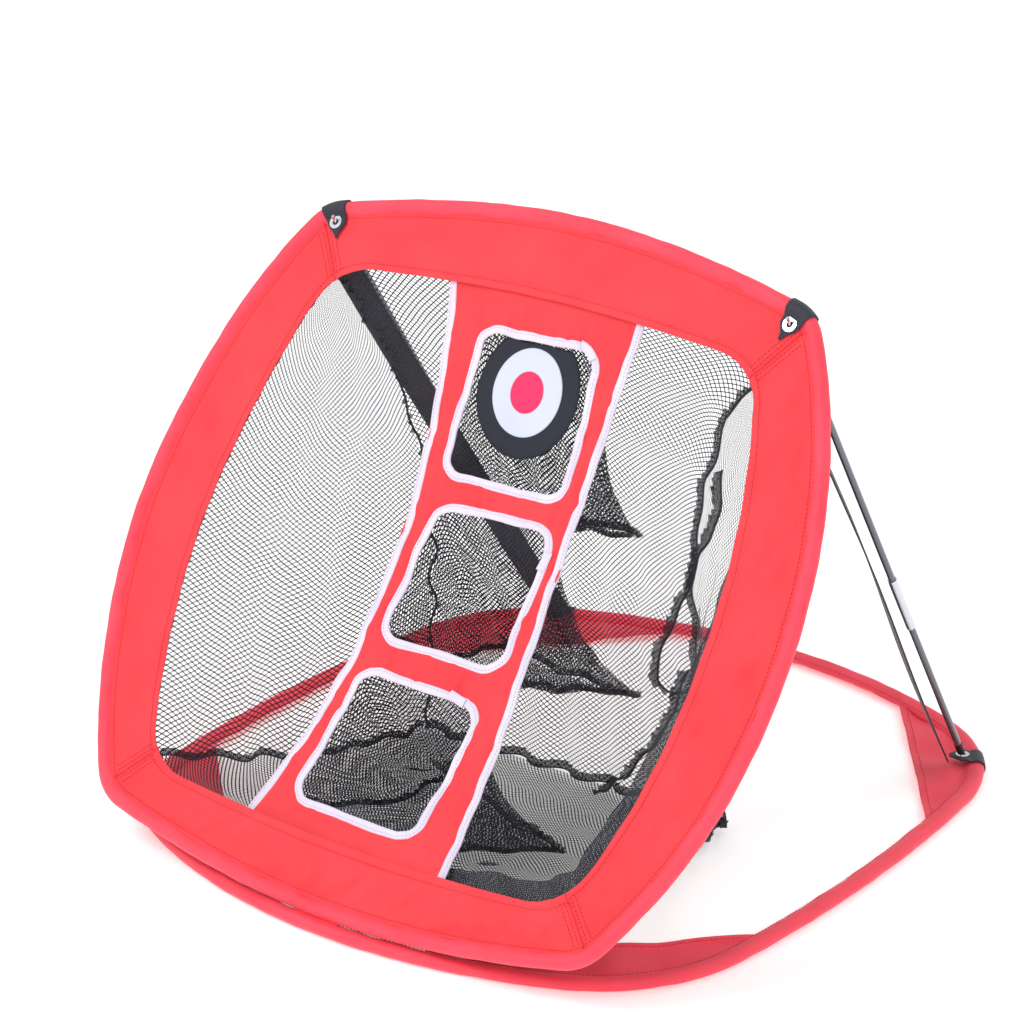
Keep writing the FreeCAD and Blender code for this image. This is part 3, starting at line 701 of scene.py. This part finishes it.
STRIP_LONG, STRIP_WIDE = 300, 110
strip_v = np.linspace(*STRIP_ENDS, STRIP_LONG)[:, None]
strip_share = np.linspace(0, 1, STRIP_WIDE)[None]
strip_left, strip_right = strip_edge(strip_v, -1) + 0.001, strip_edge(strip_v, 1) - 0.001
strip_u = strip_left * (1 - strip_share) + strip_right * strip_share
strip_v = np.broadcast_to(strip_v, strip_u.shape)
strip_grid = on_strip(strip_u, strip_v)
cell_u = (strip_u[:-1, :-1] + strip_u[1:, 1:]) / 2
cell_v = (strip_v[:-1, :-1] + strip_v[1:, 1:]) / 2
strip_keep = np.ones(cell_u.shape, bool)
for outline in windows.values():
    grown = outline + outward_of(outline, closed=True) * 0.003
    strip_keep &= ~inside(np.stack([cell_u, cell_v], axis=-1), grown)
strip_piece = cloth("strip_cloth", strip_grid, RED, PANEL_BODY, 0.0008, keep=strip_keep, node="target_strip")

pale_stitches = Stitching("panel_stitches_pale", PALE_THREAD, PANEL_BODY, radius=0.0003)


def tape_along(name, flat_line, outward, seed, replaced, closed):
    """A binding tape folded over one of the strip's cut edges."""
    count = len(flat_line)
    turn = np.linspace(0, TURN, count)
    own = np.random.default_rng(seed)
    waver = sum(own.uniform(0.3, 1) * np.sin(k * turn + own.uniform(0, 6.28)) for k in (7, 11, 17, 23))
    width = BINDING_WIDE * (1 + 0.06 * np.sin(9 * turn + own.uniform(0, 6.28)))
    path = on_strip(flat_line[:, 0], flat_line[:, 1], 0.0001 + 0.00028 * waver)
    aside = panel(*(flat_line + outward * 0.001).T, strip_back(flat_line[:, 1] + outward[:, 1] * 0.001))
    aside = unit(aside - panel(*flat_line.T, strip_back(flat_line[:, 1])))
    ahead = np.gradient(path, axis=0)
    if closed:
        ahead[0] = ahead[-1] = path[1] - path[-2]
    lift = np.cross(aside, unit(ahead))
    lift = unit(lift * np.sign(lift @ PANEL_FRONT)[:, None])
    section = round_section(1, BINDING_THICK / 2, 16, 0.55)
    grid = path[:, None] + aside[:, None] * section[:, :1] * (width / 2)[:, None, None]
    grid = grid + lift[:, None] * section[:, 1:]
    run = run_of(path)
    uv = np.stack(np.broadcast_arrays(np.linspace(0, 0.018, 17)[None], run[:, None]), axis=-1)
    piece = cloth(name, grid, BINDING, PANEL_BODY, 0, uv=uv, node=replaced)
    middle = path + lift * (BINDING_THICK / 2) + aside * (width * 0.18)[:, None]
    pale_stitches.along(middle, lift, pitch=0.0034, long=0.0024)
    return piece, path, aside, lift


tapes = []
for name, outline in windows.items():
    outward = outward_of(outline, closed=True)
    line = outline + outward * (BINDING_WIDE / 2 - 0.0004)
    tapes.append(
        tape_along(f"window_tape_{name}", line, outward, 51 + len(tapes), f"window_binding_{name}", True)
    )
for side, sx in SIDES:
    v = np.linspace(STRIP_ENDS[0] - 0.002, STRIP_ENDS[1] + 0.002, 300)
    sway = waves(v, v * 0, 0.16, 61 + sx) * 0.0012
    line = np.stack([strip_edge(v, sx) - sx * BINDING_WIDE / 2 + sway, v], axis=1)
    outward = np.stack([np.full(len(v), float(sx)), np.zeros(len(v))], axis=1)
    tapes.append(tape_along(f"strip_tape_{side}", line, outward, 71 + sx, f"strip_binding_{side}", False))

# each window's tape laps over its own start with a folded end
LAP_LONG = 10
laps = []
for (piece, path, aside, lift), start in zip(tapes[:3], (6, 250, 14)):
    pick = (start + np.arange(LAP_LONG)) % (len(path) - 1)
    skew = np.linspace(-0.0012, 0.0014, LAP_LONG)[:, None]
    lap_path = path[pick] + lift[pick] * 0.0011 + aside[pick] * skew
    lap_grid = ribbon(lap_path, aside[pick], lift[pick], BINDING_WIDE * 1.12, BINDING_THICK * 0.8)
    laps.append(cloth(f"{piece.name}_lap", lap_grid, BINDING, PANEL_BODY, 0))
strip_trim = [tape[0] for tape in tapes] + laps + [pale_stitches.make()]
declare(
    strip_piece, strip_grid, keep=strip_keep
)

# ---- bullseye flap
hinge = panel(FLAP_ASIDE, FLAP_TOP, strip_back(FLAP_TOP) - 0.0015)
flap_tilt = math.atan2(float(strip_back(FLAP_TOP) - strip_back(FLAP_TOP - FLAP_DROP)), FLAP_DROP)
flap_up = np.array([0.0, math.cos(LEAN + flap_tilt), math.sin(LEAN + flap_tilt)])
flap_out = np.array([0.0, -math.sin(LEAN + flap_tilt), math.cos(LEAN + flap_tilt)])


def on_flap(x, y, lift):
    """Points on the flap: x across it, y up from its hinged top, bowed a little by its own weight."""
    y = y * FLAP_STRETCH + FLAP_TUCK * np.clip(1 + y / FLAP_DROP, 0, 1)
    bow = 0.0016 * hump(np.clip(-y / FLAP_DROP, 0, 1)) - 0.0010 * (x / FLAP_RADIUS) ** 2
    curl = waves(x, y, 0.05, 81) * 0.0004
    out = bow + curl + lift
    return hinge + x[..., None] * RIGHT + y[..., None] * flap_up + out[..., None] * flap_out


def flap_round(name, inner, outer, material, lift, trim=False):
    """A round of printed cloth on the flap; trim cuts it off straight at the hinge."""
    turn = np.linspace(0, TURN, 97)
    reach = np.full(turn.shape, outer)
    if trim:
        above = np.maximum(np.sin(turn), 1e-3)
        reach = np.minimum(reach, (FLAP_DROP - FLAP_RADIUS) / above)
    share = np.linspace(0, 1, 14)[:, None]
    radius = inner + (reach - inner) * share
    x = radius * np.cos(turn)
    y = radius * np.sin(turn) - (FLAP_DROP - FLAP_RADIUS)
    grid = on_flap(x, y, np.full(x.shape, lift))
    open_grid, uv = grid[:, :-1], np.stack([x, y], axis=-1)[:, :-1]
    node = f"target_{name}"
    piece = cloth(f"flap_{name}", open_grid, material, "flap", 0.0006, uv=uv, closed=True, node=node)
    return piece, area_of(grid)


disc, disc_area = flap_round("disc", 0.0, FLAP_RADIUS, DISC, 0.0, trim=True)
ring, _ = flap_round("ring", EYE_RADIUS, RING_RADIUS, RING, 0.00055)
eye, _ = flap_round("bullseye", 0.0, EYE_RADIUS, BULLSEYE, 0.00055)

# ---- catch pockets
POCKET_BEHIND = 0.0052
POCKET_GROW = 0.004
POCKET_TAILS = {"upper": (0.383, -0.112), "middle": (0.273, -0.193), "lower": (0.151, -0.196)}
POCKET_TIPS = {
    "upper": (0.087, 0.010, -0.002),
    "middle": (0.089, 0.005, -0.015),
    "lower": (0.096, -0.040, -0.018),
}
SEAM_PITCH, SEAM_FOLD = 0.010, 0.0022


def fold_flat(*pieces):
    """Give each soft net piece its own copy of its mesh."""
    for piece in pieces:
        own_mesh(piece)


def gathered_edge(name, path, seed, wide=0.0075, aside=(0.0, 0.3, 1.0)):
    """A net's gathered seam: a narrow doubled edge that ripples along its length."""
    path = resample(path, max(40, int(length_of(path) / 0.0016)))
    ahead = unit(np.gradient(path, axis=0))
    side = unit(np.cross(ahead, aside))
    lift = np.cross(side, ahead)
    run, own = run_of(path), np.random.default_rng(seed)
    turns = TURN * run / SEAM_PITCH
    ripple = np.sin(turns + own.uniform(0, 6)) * SEAM_FOLD
    ripple += np.sin(turns / 2.7 + own.uniform(0, 6)) * SEAM_FOLD * 0.8
    sway = np.sin(turns / 5.1 + own.uniform(0, 6)) * SEAM_FOLD * 0.9
    share = np.linspace(0, 1, 6)
    grid = path[:, None] + lift[:, None] * (share * wide)[None, :, None]
    grid = grid + side[:, None] * (ripple[:, None] * share + sway[:, None])[..., None]
    cord = ribbon(path + side * sway[:, None], side, lift, 0.0022, 0.0018, 8)
    grid, cord = lifted(grid, 0.0015), lifted(cord, 0.0012)
    edge = cloth(name, grid, NET_EDGE, PANEL_BODY, 0)
    band = cloth(f"{name}_cord", cord, WEBBING, PANEL_BODY, 0, slot="black_net")
    fold_flat(edge, band)
    return [edge, band]


POCKET_LONG, POCKET_ROUND = 44, 169
for index, (name, (tail_up, tail_out)) in enumerate(POCKET_TAILS.items()):
    up = WINDOW_UP[name]
    wide, tall = WINDOW_SIZE[0] + 2 * POCKET_GROW, WINDOW_SIZE[1] + 2 * POCKET_GROW
    mouth = off_square(name, rounded_rect(wide, tall, WINDOW_CORNER + POCKET_GROW, up, POCKET_ROUND))
    mouth_points = panel(mouth[:, 0], mouth[:, 1], strip_back(mouth[:, 1]) - POCKET_BEHIND)
    rise = (mouth[:, 1] - up) / (tall / 2)
    tail_low, tail_high = np.array([-0.050, 0, 0]), np.array(POCKET_TIPS[name])
    share = (mouth[:, 0] / wide + 0.5)[:, None]
    tail_middle = panel(0.0, tail_up, tail_out)
    tail = tail_middle + tail_low * (1 - share) + tail_high * share
    tail = tail + np.array([0, 0, 1.0]) * (rise[:, None] * 0.0025 - 0.010 * (1 - share) * np.sin(share * 3))
    t = np.linspace(0, 1, POCKET_LONG)[:, None, None]
    grid = mouth_points[None] * (1 - t) + tail[None] * t
    droop = hump(t[..., 0] ** 0.8)
    roof = smooth(rise, -0.2, 0.9)[None]
    narrow = 1 - 0.16 * droop * (1 - 0.4 * roof)
    grid[..., 0] *= narrow
    folds = np.sin(share[:, 0] * 26 + 2.5 * t[..., 0] + index)[None][0]
    deep = 0.0032 * droop * (0.4 + t[..., 0])
    grid[..., 2] -= droop * (0.030 * roof + 0.010 * (1 - roof)) + deep * folds
    around = np.linspace(0, TURN, POCKET_ROUND)[None]
    gather = np.sin(around * 14 + index) * 0.0022 + np.sin(around * 9 + 3 * t[..., 0]) * 0.0016
    grid[..., 1] += gather * droop
    grid[..., 2] += waves(around * 0.05, t[..., 0] * 0.15, 0.05, 91 + index) * 0.005 * droop
    grid = lifted(grid, 0.006)
    pocket = cloth(f"pocket_{name}", grid, DENSE_NET, PANEL_BODY, 0, node=f"catch_pocket_{name}")
    fold_flat(pocket)
    seams = []
    for side, sx in reversed(SIDES):
        column = int(np.argmin(np.abs(mouth - [sx * wide / 2, up - tall / 2]).sum(axis=1)))
        seams += gathered_edge(f"pocket_{name}_seam_{side}", grid[:, column], 101 + column, 0.004)
    order = np.argsort(grid[-1, :, 0])
    tail_path = grid[-1][order[np.linspace(0, len(order) - 1, 12).astype(int)]]
    seams += gathered_edge(f"pocket_{name}_seam_tail", tail_path, 120 + index, 0.005)
    declare(pocket, grid, fullness=1.1)

# ---- net bag behind the opening
BAG_BACK = -0.0072
GROUND_HALF, GROUND_Y = 0.168, 0.005
GROUND_Z = 0.005
net_sides = opening_loop.sides(-0.0085, 200)
net_edges = net_sides[1][::-1], net_sides[2], net_sides[0][::-1], net_sides[3]
top_row, left_row, right_row, low_row = (panel(*line.T, BAG_BACK) for line in net_edges)

NET_FALL = 150
fall = np.linspace(0, 1, NET_FALL)


def seam_line(sx):
    """The seam between the bag's back and one of its sides, from the opening's corner to the ground."""
    start = top_row[0] if sx < 0 else top_row[-1]
    narrowing = (abs(start[0]), 0.186, 0.160, 0.146, 0.143, 0.154, GROUND_HALF)
    half = np.interp(fall, (0, 0.10, 0.25, 0.40, 0.60, 0.80, 1.0), narrowing)
    lean = np.interp(fall, [0, 0.2, 0.5, 1.0], [0, 0.006, 0.004, 0])
    x = sx * (half + 0.0022 * np.sin(fall * 34 + sx) * hump(fall))
    y = start[1] + (GROUND_Y - start[1]) * fall + lean + 0.002 * np.sin(fall * 47)
    z = start[2] + (GROUND_Z - start[2]) * fall
    return np.stack([x, y, z], axis=1)


seam_lines = {side: seam_line(sx) for side, sx in SIDES}
CURTAIN_WIDE = 220
spread = np.linspace(0, 1, CURTAIN_WIDE)
top_edge = resample(top_row, CURTAIN_WIDE)
left_seam, right_seam = seam_lines["left"], seam_lines["right"]
ruled = left_seam[:, None] * (1 - spread[None, :, None]) + right_seam[:, None] * spread[None, :, None]
arch = (top_edge - (top_edge[0] * (1 - spread[:, None]) + top_edge[-1] * spread[:, None]))[None]
curtain = ruled + arch * (1 - fall[:, None, None]) ** 2
middle = hump(spread)[None] * np.sin(math.pi * np.clip(fall * 0.94, 0, 1))[:, None]
pleat = np.sin(spread * TURN * 7 + 1.2 * np.sin(fall[:, None] * 3))
curtain[..., 1] += 0.020 * middle + pleat * 0.0045 * smooth(fall, 0.1, 1.0)[:, None]
curtain[..., 1] += waves(curtain[..., 0], curtain[..., 2], 0.16, 131) * 0.006 * middle
curtain = lifted(curtain, 0.003)
net_back = cloth("net_back", curtain, NET, PANEL_BODY, 0, node="net_curtain")

# the bag's lower seams run from the opening's lower corners to the back's foot
LOW_RUN = 120
low_seams = {}
for side, sx in SIDES:
    start = low_row[0] if sx < 0 else low_row[-1]
    end = seam_lines[side][-1]
    share = np.linspace(0, 1, LOW_RUN)[:, None]
    line = start * (1 - share) + end * share
    line[:, 0] += sx * -0.012 * hump(share[:, 0])
    line[:, 2] += -0.010 * hump(share[:, 0]) + 0.0022 * np.sin(share[:, 0] * 40)
    line[:, 0] += 0.0028 * np.sin(share[:, 0] * 31)
    line[:, 2] = np.maximum(line[:, 2], 0.004)
    low_seams[side] = line

SIDE_ACROSS = 90
net_pieces = {}
for side, sx in SIDES:
    mouth_edge = resample(left_row if sx < 0 else right_row, NET_FALL)
    seam = seam_lines[side]
    share = np.linspace(0, 1, SIDE_ACROSS)[None, :, None]
    grid = mouth_edge[:, None] * (1 - share) + seam[:, None] * share
    foot = resample(low_seams[side], SIDE_ACROSS)
    grid += (foot - grid[-1])[None] * (fall**2)[:, None, None]
    belly = hump(share[..., 0]) * hump(fall)[:, None]
    crease = np.sin(share[..., 0] * TURN * 4 + fall[:, None] * 4)
    grid[..., 1] += 0.010 * belly + crease * 0.0028 * belly
    grid[..., 0] += sx * (waves(grid[..., 1], grid[..., 2], 0.12, 141 + sx) * 0.004 * belly - 0.006 * belly)
    grid = lifted(grid, 0.004)
    piece = cloth(f"net_{side}", grid, NET, PANEL_BODY, 0, node=f"net_side_{side}")
    net_pieces[side] = (piece, grid)

FLOOR_LONG, FLOOR_WIDE = 110, 160
low_left, low_right = resample(low_seams["left"], FLOOR_LONG), resample(low_seams["right"], FLOOR_LONG)
share = np.linspace(0, 1, FLOOR_WIDE)[None, :, None]
floor_grid = low_left[:, None] * (1 - share) + low_right[:, None] * share
front_edge = resample(low_row, FLOOR_WIDE)
deep = np.linspace(0, 1, FLOOR_LONG)[:, None, None]
floor_grid += (front_edge - floor_grid[0])[None] * (1 - deep) ** 2
belly = hump(share[..., 0]) * hump(deep[..., 0] ** 0.7)
floor_grid[..., 2] -= 0.022 * belly
floor_grid[..., 2] += waves(floor_grid[..., 0], floor_grid[..., 1], 0.06, 151) * 0.006 * belly
floor_grid = lifted(floor_grid, 0.0035 + 0.0012 * (1 + np.sin(floor_grid[..., 0] * 90)))
net_under = cloth("net_under", floor_grid, DENSE_NET, PANEL_BODY, 0, node="net_floor")

fold_flat(net_back, net_under, net_pieces["left"][0], net_pieces["right"][0])

# the net's spare width, folded double behind the opening's right edge and lower right corner
fold_line = np.concatenate([net_sides[3][90:], net_sides[0][1:]])
fold_out = outward_of(fold_line)
fold_share = np.linspace(0, 1, len(fold_line))
fold_wide = 0.010 + 0.018 * smooth(fold_share, 0.0, 0.34) * (1 - smooth(fold_share, 0.42, 0.95))
fold_wide += 0.0012 * np.sin(fold_share * 61) + 0.0008 * np.sin(fold_share * 113)
fold_over = np.linspace(0, 1, 12)
fold_flat_line = fold_line[:, None] - fold_out[:, None] * (fold_over * fold_wide[:, None])[..., None]
fold_back = BAG_BACK - 0.0022 + 0.0012 * np.sin(fold_share[:, None] * 90 + fold_over * 2)
fold_grid = panel(fold_flat_line[..., 0], fold_flat_line[..., 1], fold_back)
net_fold = cloth("net_fold", fold_grid, NET_EDGE, PANEL_BODY, 0)
fold_flat(net_fold)

# loose creases where the bag's spare net has doubled over itself: points in the part's frame
NET_CREASES = {
    "right": (
        (0.200, -0.062, 0.365),
        (0.190, -0.050, 0.310),
        (0.163, -0.034, 0.281),
        (0.149, -0.030, 0.237),
        (0.122, -0.030, 0.179),
        (0.112, -0.030, 0.134),
        (0.149, -0.030, 0.142),
    ),
    "low": ((0.176, -0.070, 0.185), (0.150, -0.060, 0.120), (0.105, -0.055, 0.060), (0.056, -0.028, 0.018)),
}
bag_seams = [net_fold]
for index, (name, points) in enumerate(NET_CREASES.items()):
    crease = resample(np.array(points), 90)
    for _ in range(40):
        crease[1:-1] = (crease[:-2] + 2 * crease[1:-1] + crease[2:]) / 4
    bag_seams += gathered_edge(f"net_crease_{name}", crease, 175 + index, 0.008, (-0.5, -1.0, 0.3))
for side, sx in SIDES:
    towards = (-sx * 0.8, -1.0, 0.2)
    bag_seams += gathered_edge(f"net_seam_{side}", seam_lines[side], 161 + sx, 0.0055, towards)
    bag_seams += gathered_edge(f"net_low_seam_{side}", low_seams[side], 165 + sx, 0.0055)
bag_seams += gathered_edge("net_foot_seam", curtain[-1], 171, 0.007)
declare(net_back, curtain, fullness=1.12)
declare(net_under, floor_grid, fullness=1.12)
for side, (piece, grid) in net_pieces.items():
    declare(piece, grid, fullness=1.12)

# ---- base sleeve and gussets
def on_base(x, y, z):
    """Points of the base, whose sleeve lies on the ground."""
    x, y, z = np.broadcast_arrays(x, y, np.maximum(np.asarray(z) + SLEEVE, 0.0003))
    return np.stack([x, y, z], axis=-1).astype(float)


base_centre, base_out = hoop_sleeve(BASE_BODY, base_loop, 300, on_base, 0.0064, 0.0058, 0.0045, 5)
base_stitches = Stitching("base_stitches", RED_THREAD, BASE_BODY)
seam_section = np.array([[-0.0083, 0.0031]])
seam_path = sweep(on_base, base_centre, base_out, seam_section)[:, 0]
base_stitches.along(seam_path, np.tile([0.0, 0.0, 1.0], (len(seam_path), 1)), pitch=0.0038)

GUSSET_EDGES = {
    "rear_right": ((0.158, 0.312), (0.294, 0.130)),
    "rear_left": ((-0.097, 0.338), (-0.250, 0.168)),
    "front_right": ((0.300, -0.140), (0.196, -0.238)),
    "front_left": ((-0.300, -0.140), (-0.196, -0.238)),
}
GUSSET_LONG, GUSSET_WIDE = 130, 44
fine_rim = base_loop.whole(0.0125, 400)[:-1]
for index, (name, ends) in enumerate(GUSSET_EDGES.items()):
    first, second = (np.array(end) for end in ends)
    way = unit(second - first)
    outside = unit((first + second) / 2)
    outside = unit(outside - way * (outside @ way))

    def meet(point, toward):
        """Where the free edge, carried on, reaches the rim."""
        apart = fine_rim - point
        off = np.abs(apart @ outside) + np.where(apart @ toward > -0.01, 0, 1.0)
        return int(np.argmin(off + np.linalg.norm(apart, axis=1) * 0.05))

    low, high = meet(first, -way), meet(second, way)
    count = len(fine_rim)
    forward = [(low + k) % count for k in range((high - low) % count + 1)]
    backward = [(low - k) % count for k in range((low - high) % count + 1)]
    rim = fine_rim[forward if len(forward) < len(backward) else backward]
    rim = resample(rim, GUSSET_LONG)
    along = np.linspace(0, 1, GUSSET_LONG)[:, None]
    hem = rim[0] * (1 - along) + rim[-1] * along + outside * GUSSET_HOLLOW * hump(along)
    across = np.linspace(0, 1, GUSSET_WIDE)
    flat = hem[:, None] * (1 - across[:, None]) + rim[:, None] * across[:, None]
    wide = np.linalg.norm(rim - hem, axis=1)[:, None] * across
    hold = hump(along) * smooth(1 - across, 0, 0.25)[None]
    z = -0.0025 * hold + waves(flat[..., 0], flat[..., 1], 0.05, 181 + index) * 0.0016 * hold
    ray = (along - 0.5) * 17 + index
    z = z + 0.0012 * np.sin(ray * (1 + 0.2 * across[None])) * hold
    z = z + 0.0010 * (1 - smooth(wide, 0.0078, 0.009)) * np.minimum(1, hump(along) * 6)
    grid = on_base(flat[..., 0], flat[..., 1], z)
    piece = cloth(f"gusset_{name}", grid, PINK, BASE_BODY, 0.0009, node=f"base_gusset_{name}")
    normal = normals_of(grid)
    normal *= np.sign(normal[..., 2].mean())
    rows = slice(8, -8)
    hem_path = grid[rows, 0] + (grid[rows, -1] - grid[rows, 0]) * (0.0065 / wide[rows, -1:])
    hem_path[:, 2] = grid[rows, 3, 2] + 0.0009
    base_stitches.along(hem_path, normal[rows, 3])
    declare(piece, grid)
base_stitches.make()

# the cloth hinge that joins the panel's foot to the base's front edge
PATCH_WIDE = 0.044
rim_line = np.array([0.0, 0.006 - 0.356, 0.006])
patch_share = np.linspace(0, 1, 14)
patch_path = rim_line + (FOOT - rim_line) * patch_share[:, None]
patch_across = np.linspace(-PATCH_WIDE / 2, PATCH_WIDE / 2, 34)
patch_grid = patch_path[:, None] + patch_across[None, :, None] * RIGHT
patch_grid[..., 1] += 0.0009 * hump(patch_share)[:, None] - 0.0005
patch_piece = cloth("hinge_patch", patch_grid, RED, BASE_BODY, 0.0009, node="front_hinge_patch")
declare(patch_piece, patch_grid)

# ---- corner tabs
TAB_WIDE = 0.024
TAB_THICK = 0.0016
TAB_STEPS = 17


def tab_route(eye_in, level, tail, under_tail, ground_level=None):
    """A tab's path over a sleeve: (out of the hoop's middle line, off its plane) pairs."""
    over = SLEEVE + TAB_THICK / 2 + 0.0003
    turn = np.radians(np.linspace(128, -128, 26))
    wrap = np.stack([np.cos(turn) * over, np.sin(turn) * over], axis=1)
    front = [(out, level) for out in (-eye_in - tail, -eye_in - tail * 0.5, -eye_in, -eye_in + 0.004)]
    back = [(out, -level) for out in (-eye_in + 0.003, -eye_in, -eye_in - under_tail)]
    route = resample(np.concatenate([front, wrap, back]), 70)
    if ground_level is not None:
        route[:, 1] = np.maximum(route[:, 1], ground_level)
    return route


def wrapped_tab(body, side, place, outline, eye, level, tail, under_tail, ground_level=None):
    """A webbing tab folded over a body's hoop, following the hoop's bend."""
    run = run_of(outline)
    outward = outward_of(outline)
    nearest = int(np.argmin(np.linalg.norm(outline - eye, axis=1)))
    eye_in = float(np.linalg.norm(outline[nearest] - eye))
    route = tab_route(eye_in, level, tail, under_tail, ground_level)
    aside = np.linspace(-TAB_WIDE / 2, TAB_WIDE / 2, TAB_STEPS)
    inner = np.clip(-route[:, :1] - eye_in - 0.002, 0, None)
    taper = np.clip(1 - inner / (tail + 0.001), 0.12, 1)
    at = run[nearest] + aside[None] * taper
    flat = sample(at, run, outline) + unit(sample(at, run, outward)) * route[:, :1, None]
    lift = np.broadcast_to(route[:, 1:], flat.shape[:2])
    grid = place(flat[..., 0], flat[..., 1], lift)
    piece = cloth(f"{body}_tab_{side}", grid, WEBBING, body, TAB_THICK * 0.8, node=f"{body}_{side}_tab")
    declare(piece, grid)


PANEL_TAB_LEVEL = 0.0022
fine_panel = panel_loop.whole(SLEEVE, 900)
for side, _ in SIDES:
    eye = EYES_ON_PANEL[side]
    wrapped_tab(PANEL_BODY, side, panel, fine_panel, eye, PANEL_TAB_LEVEL, 0.015, 0.016)

BASE_TAB_LEVEL = 0.0071
TAB_GROUND = 0.0012
fine_base = base_loop.whole(SLEEVE, 900)
BASE_EYES = {"left": (-0.2199, 0.2854), "right": (0.2665, 0.2427)}
for side, _ in SIDES:
    eye = BASE_EYES[side]
    wrapped_tab(BASE_BODY, side, on_base, fine_base, eye, BASE_TAB_LEVEL, 0.012, 0.006, TAB_GROUND - SLEEVE)

# ---- webbing straps
STRAP_WIDE = 0.025
STRAP_TOPS = {"left": (-0.216, 0.531, -0.009), "right": (0.232, 0.548, -0.009)}
STRAP_BOWS = {"left": 0.0, "right": 0.0055}
STRAP_INSET = 0.017
for side, sx in SIDES:
    top = panel(*STRAP_TOPS[side])
    eye = np.array([*BASE_EYES[side], 0.0131])
    inward = unit(np.array([-eye[0], -eye[1], 0.0]))
    foot = eye + inward * STRAP_INSET + np.array([0, 0, 0.003])
    way = unit(top - foot)
    across = np.cross([0.0, 0.0, 1.0], inward)
    across = unit(across - way * (across @ way))
    lift = np.cross(way, across)
    share = np.linspace(0, 1, 140)
    path = foot + (top - foot) * share[:, None]
    path = path - lift * (0.0055 * hump(share) + 0.0015 * np.sin(share * 9))[:, None]
    path = path - inward * STRAP_BOWS[side] * hump(share)[:, None]
    twist = 0.10 * np.sin(share * math.pi * 1.5 + sx) * hump(share)
    aside = across * np.cos(twist)[:, None] + lift * np.sin(twist)[:, None]
    over = lift * np.cos(twist)[:, None] - across * np.sin(twist)[:, None]
    edge_to_edge = np.linspace(-STRAP_WIDE / 2, STRAP_WIDE / 2, 9)
    strap_grid = path[:, None] + aside[:, None] * edge_to_edge[None, :, None]
    strap = cloth(f"strap_{side}_web", strap_grid, WEBBING, None, 0.0015, node=f"strap_{side}")
    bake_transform(strap)

# ---- floor, light and camera
STAGE_HALF = 6.0
floor_shader = material("studio_floor", (1.0, 1.0, 1.0), 0.9)
dial(Nodes(floor_shader).shader, Emission_Color=(1, 1, 1, 1), Emission_Strength=0.30, Specular_IOR_Level=0.0)
corners = np.array([[-1, -1, 0], [1, -1, 0], [1, 1, 0], [-1, 1, 0]]) * STAGE_HALF
floor = make_mesh("floor", corners, np.array([[0, 1, 2, 3]]), floor_shader, None)

bpy.context.scene.view_settings.view_transform = "Standard"
world = bpy.data.worlds.new("studio")
bpy.context.scene.world = world
world.use_nodes = True
dial(world.node_tree.nodes["Background"], Color=(1, 1, 1, 1), Strength=0.68)


def aim(made, place, way):
    made.location = place
    made.rotation_euler = Vector(way).to_track_quat("-Z", "Y").to_euler()


LIGHT_TARGET = Vector((0, 0, 0.2))


def softbox(name, place, wide, power):
    light = bpy.data.lights.new(name, "AREA")
    light.shape = "SQUARE"
    light.size = wide
    light.energy = power
    aim(put(name, light), place, LIGHT_TARGET - Vector(place))


softbox("key", (-1.2, -2.0, 2.6), 1.3, 40)
softbox("fill", (2.4, -1.0, 1.4), 1.8, 12)
softbox("back", (0.8, 2.4, 2.2), 1.6, 14)

CAMERA_PLACE = (1.5885, -2.1520, 1.3105)
CAMERA_WAY = (-0.5674, 0.7384, -0.3644)
camera_data = bpy.data.cameras.new("camera")
camera_data.sensor_width = 36
camera_data.lens = 116.24
camera = put("camera", camera_data)
aim(camera, CAMERA_PLACE, CAMERA_WAY)
bpy.context.scene.camera = camera
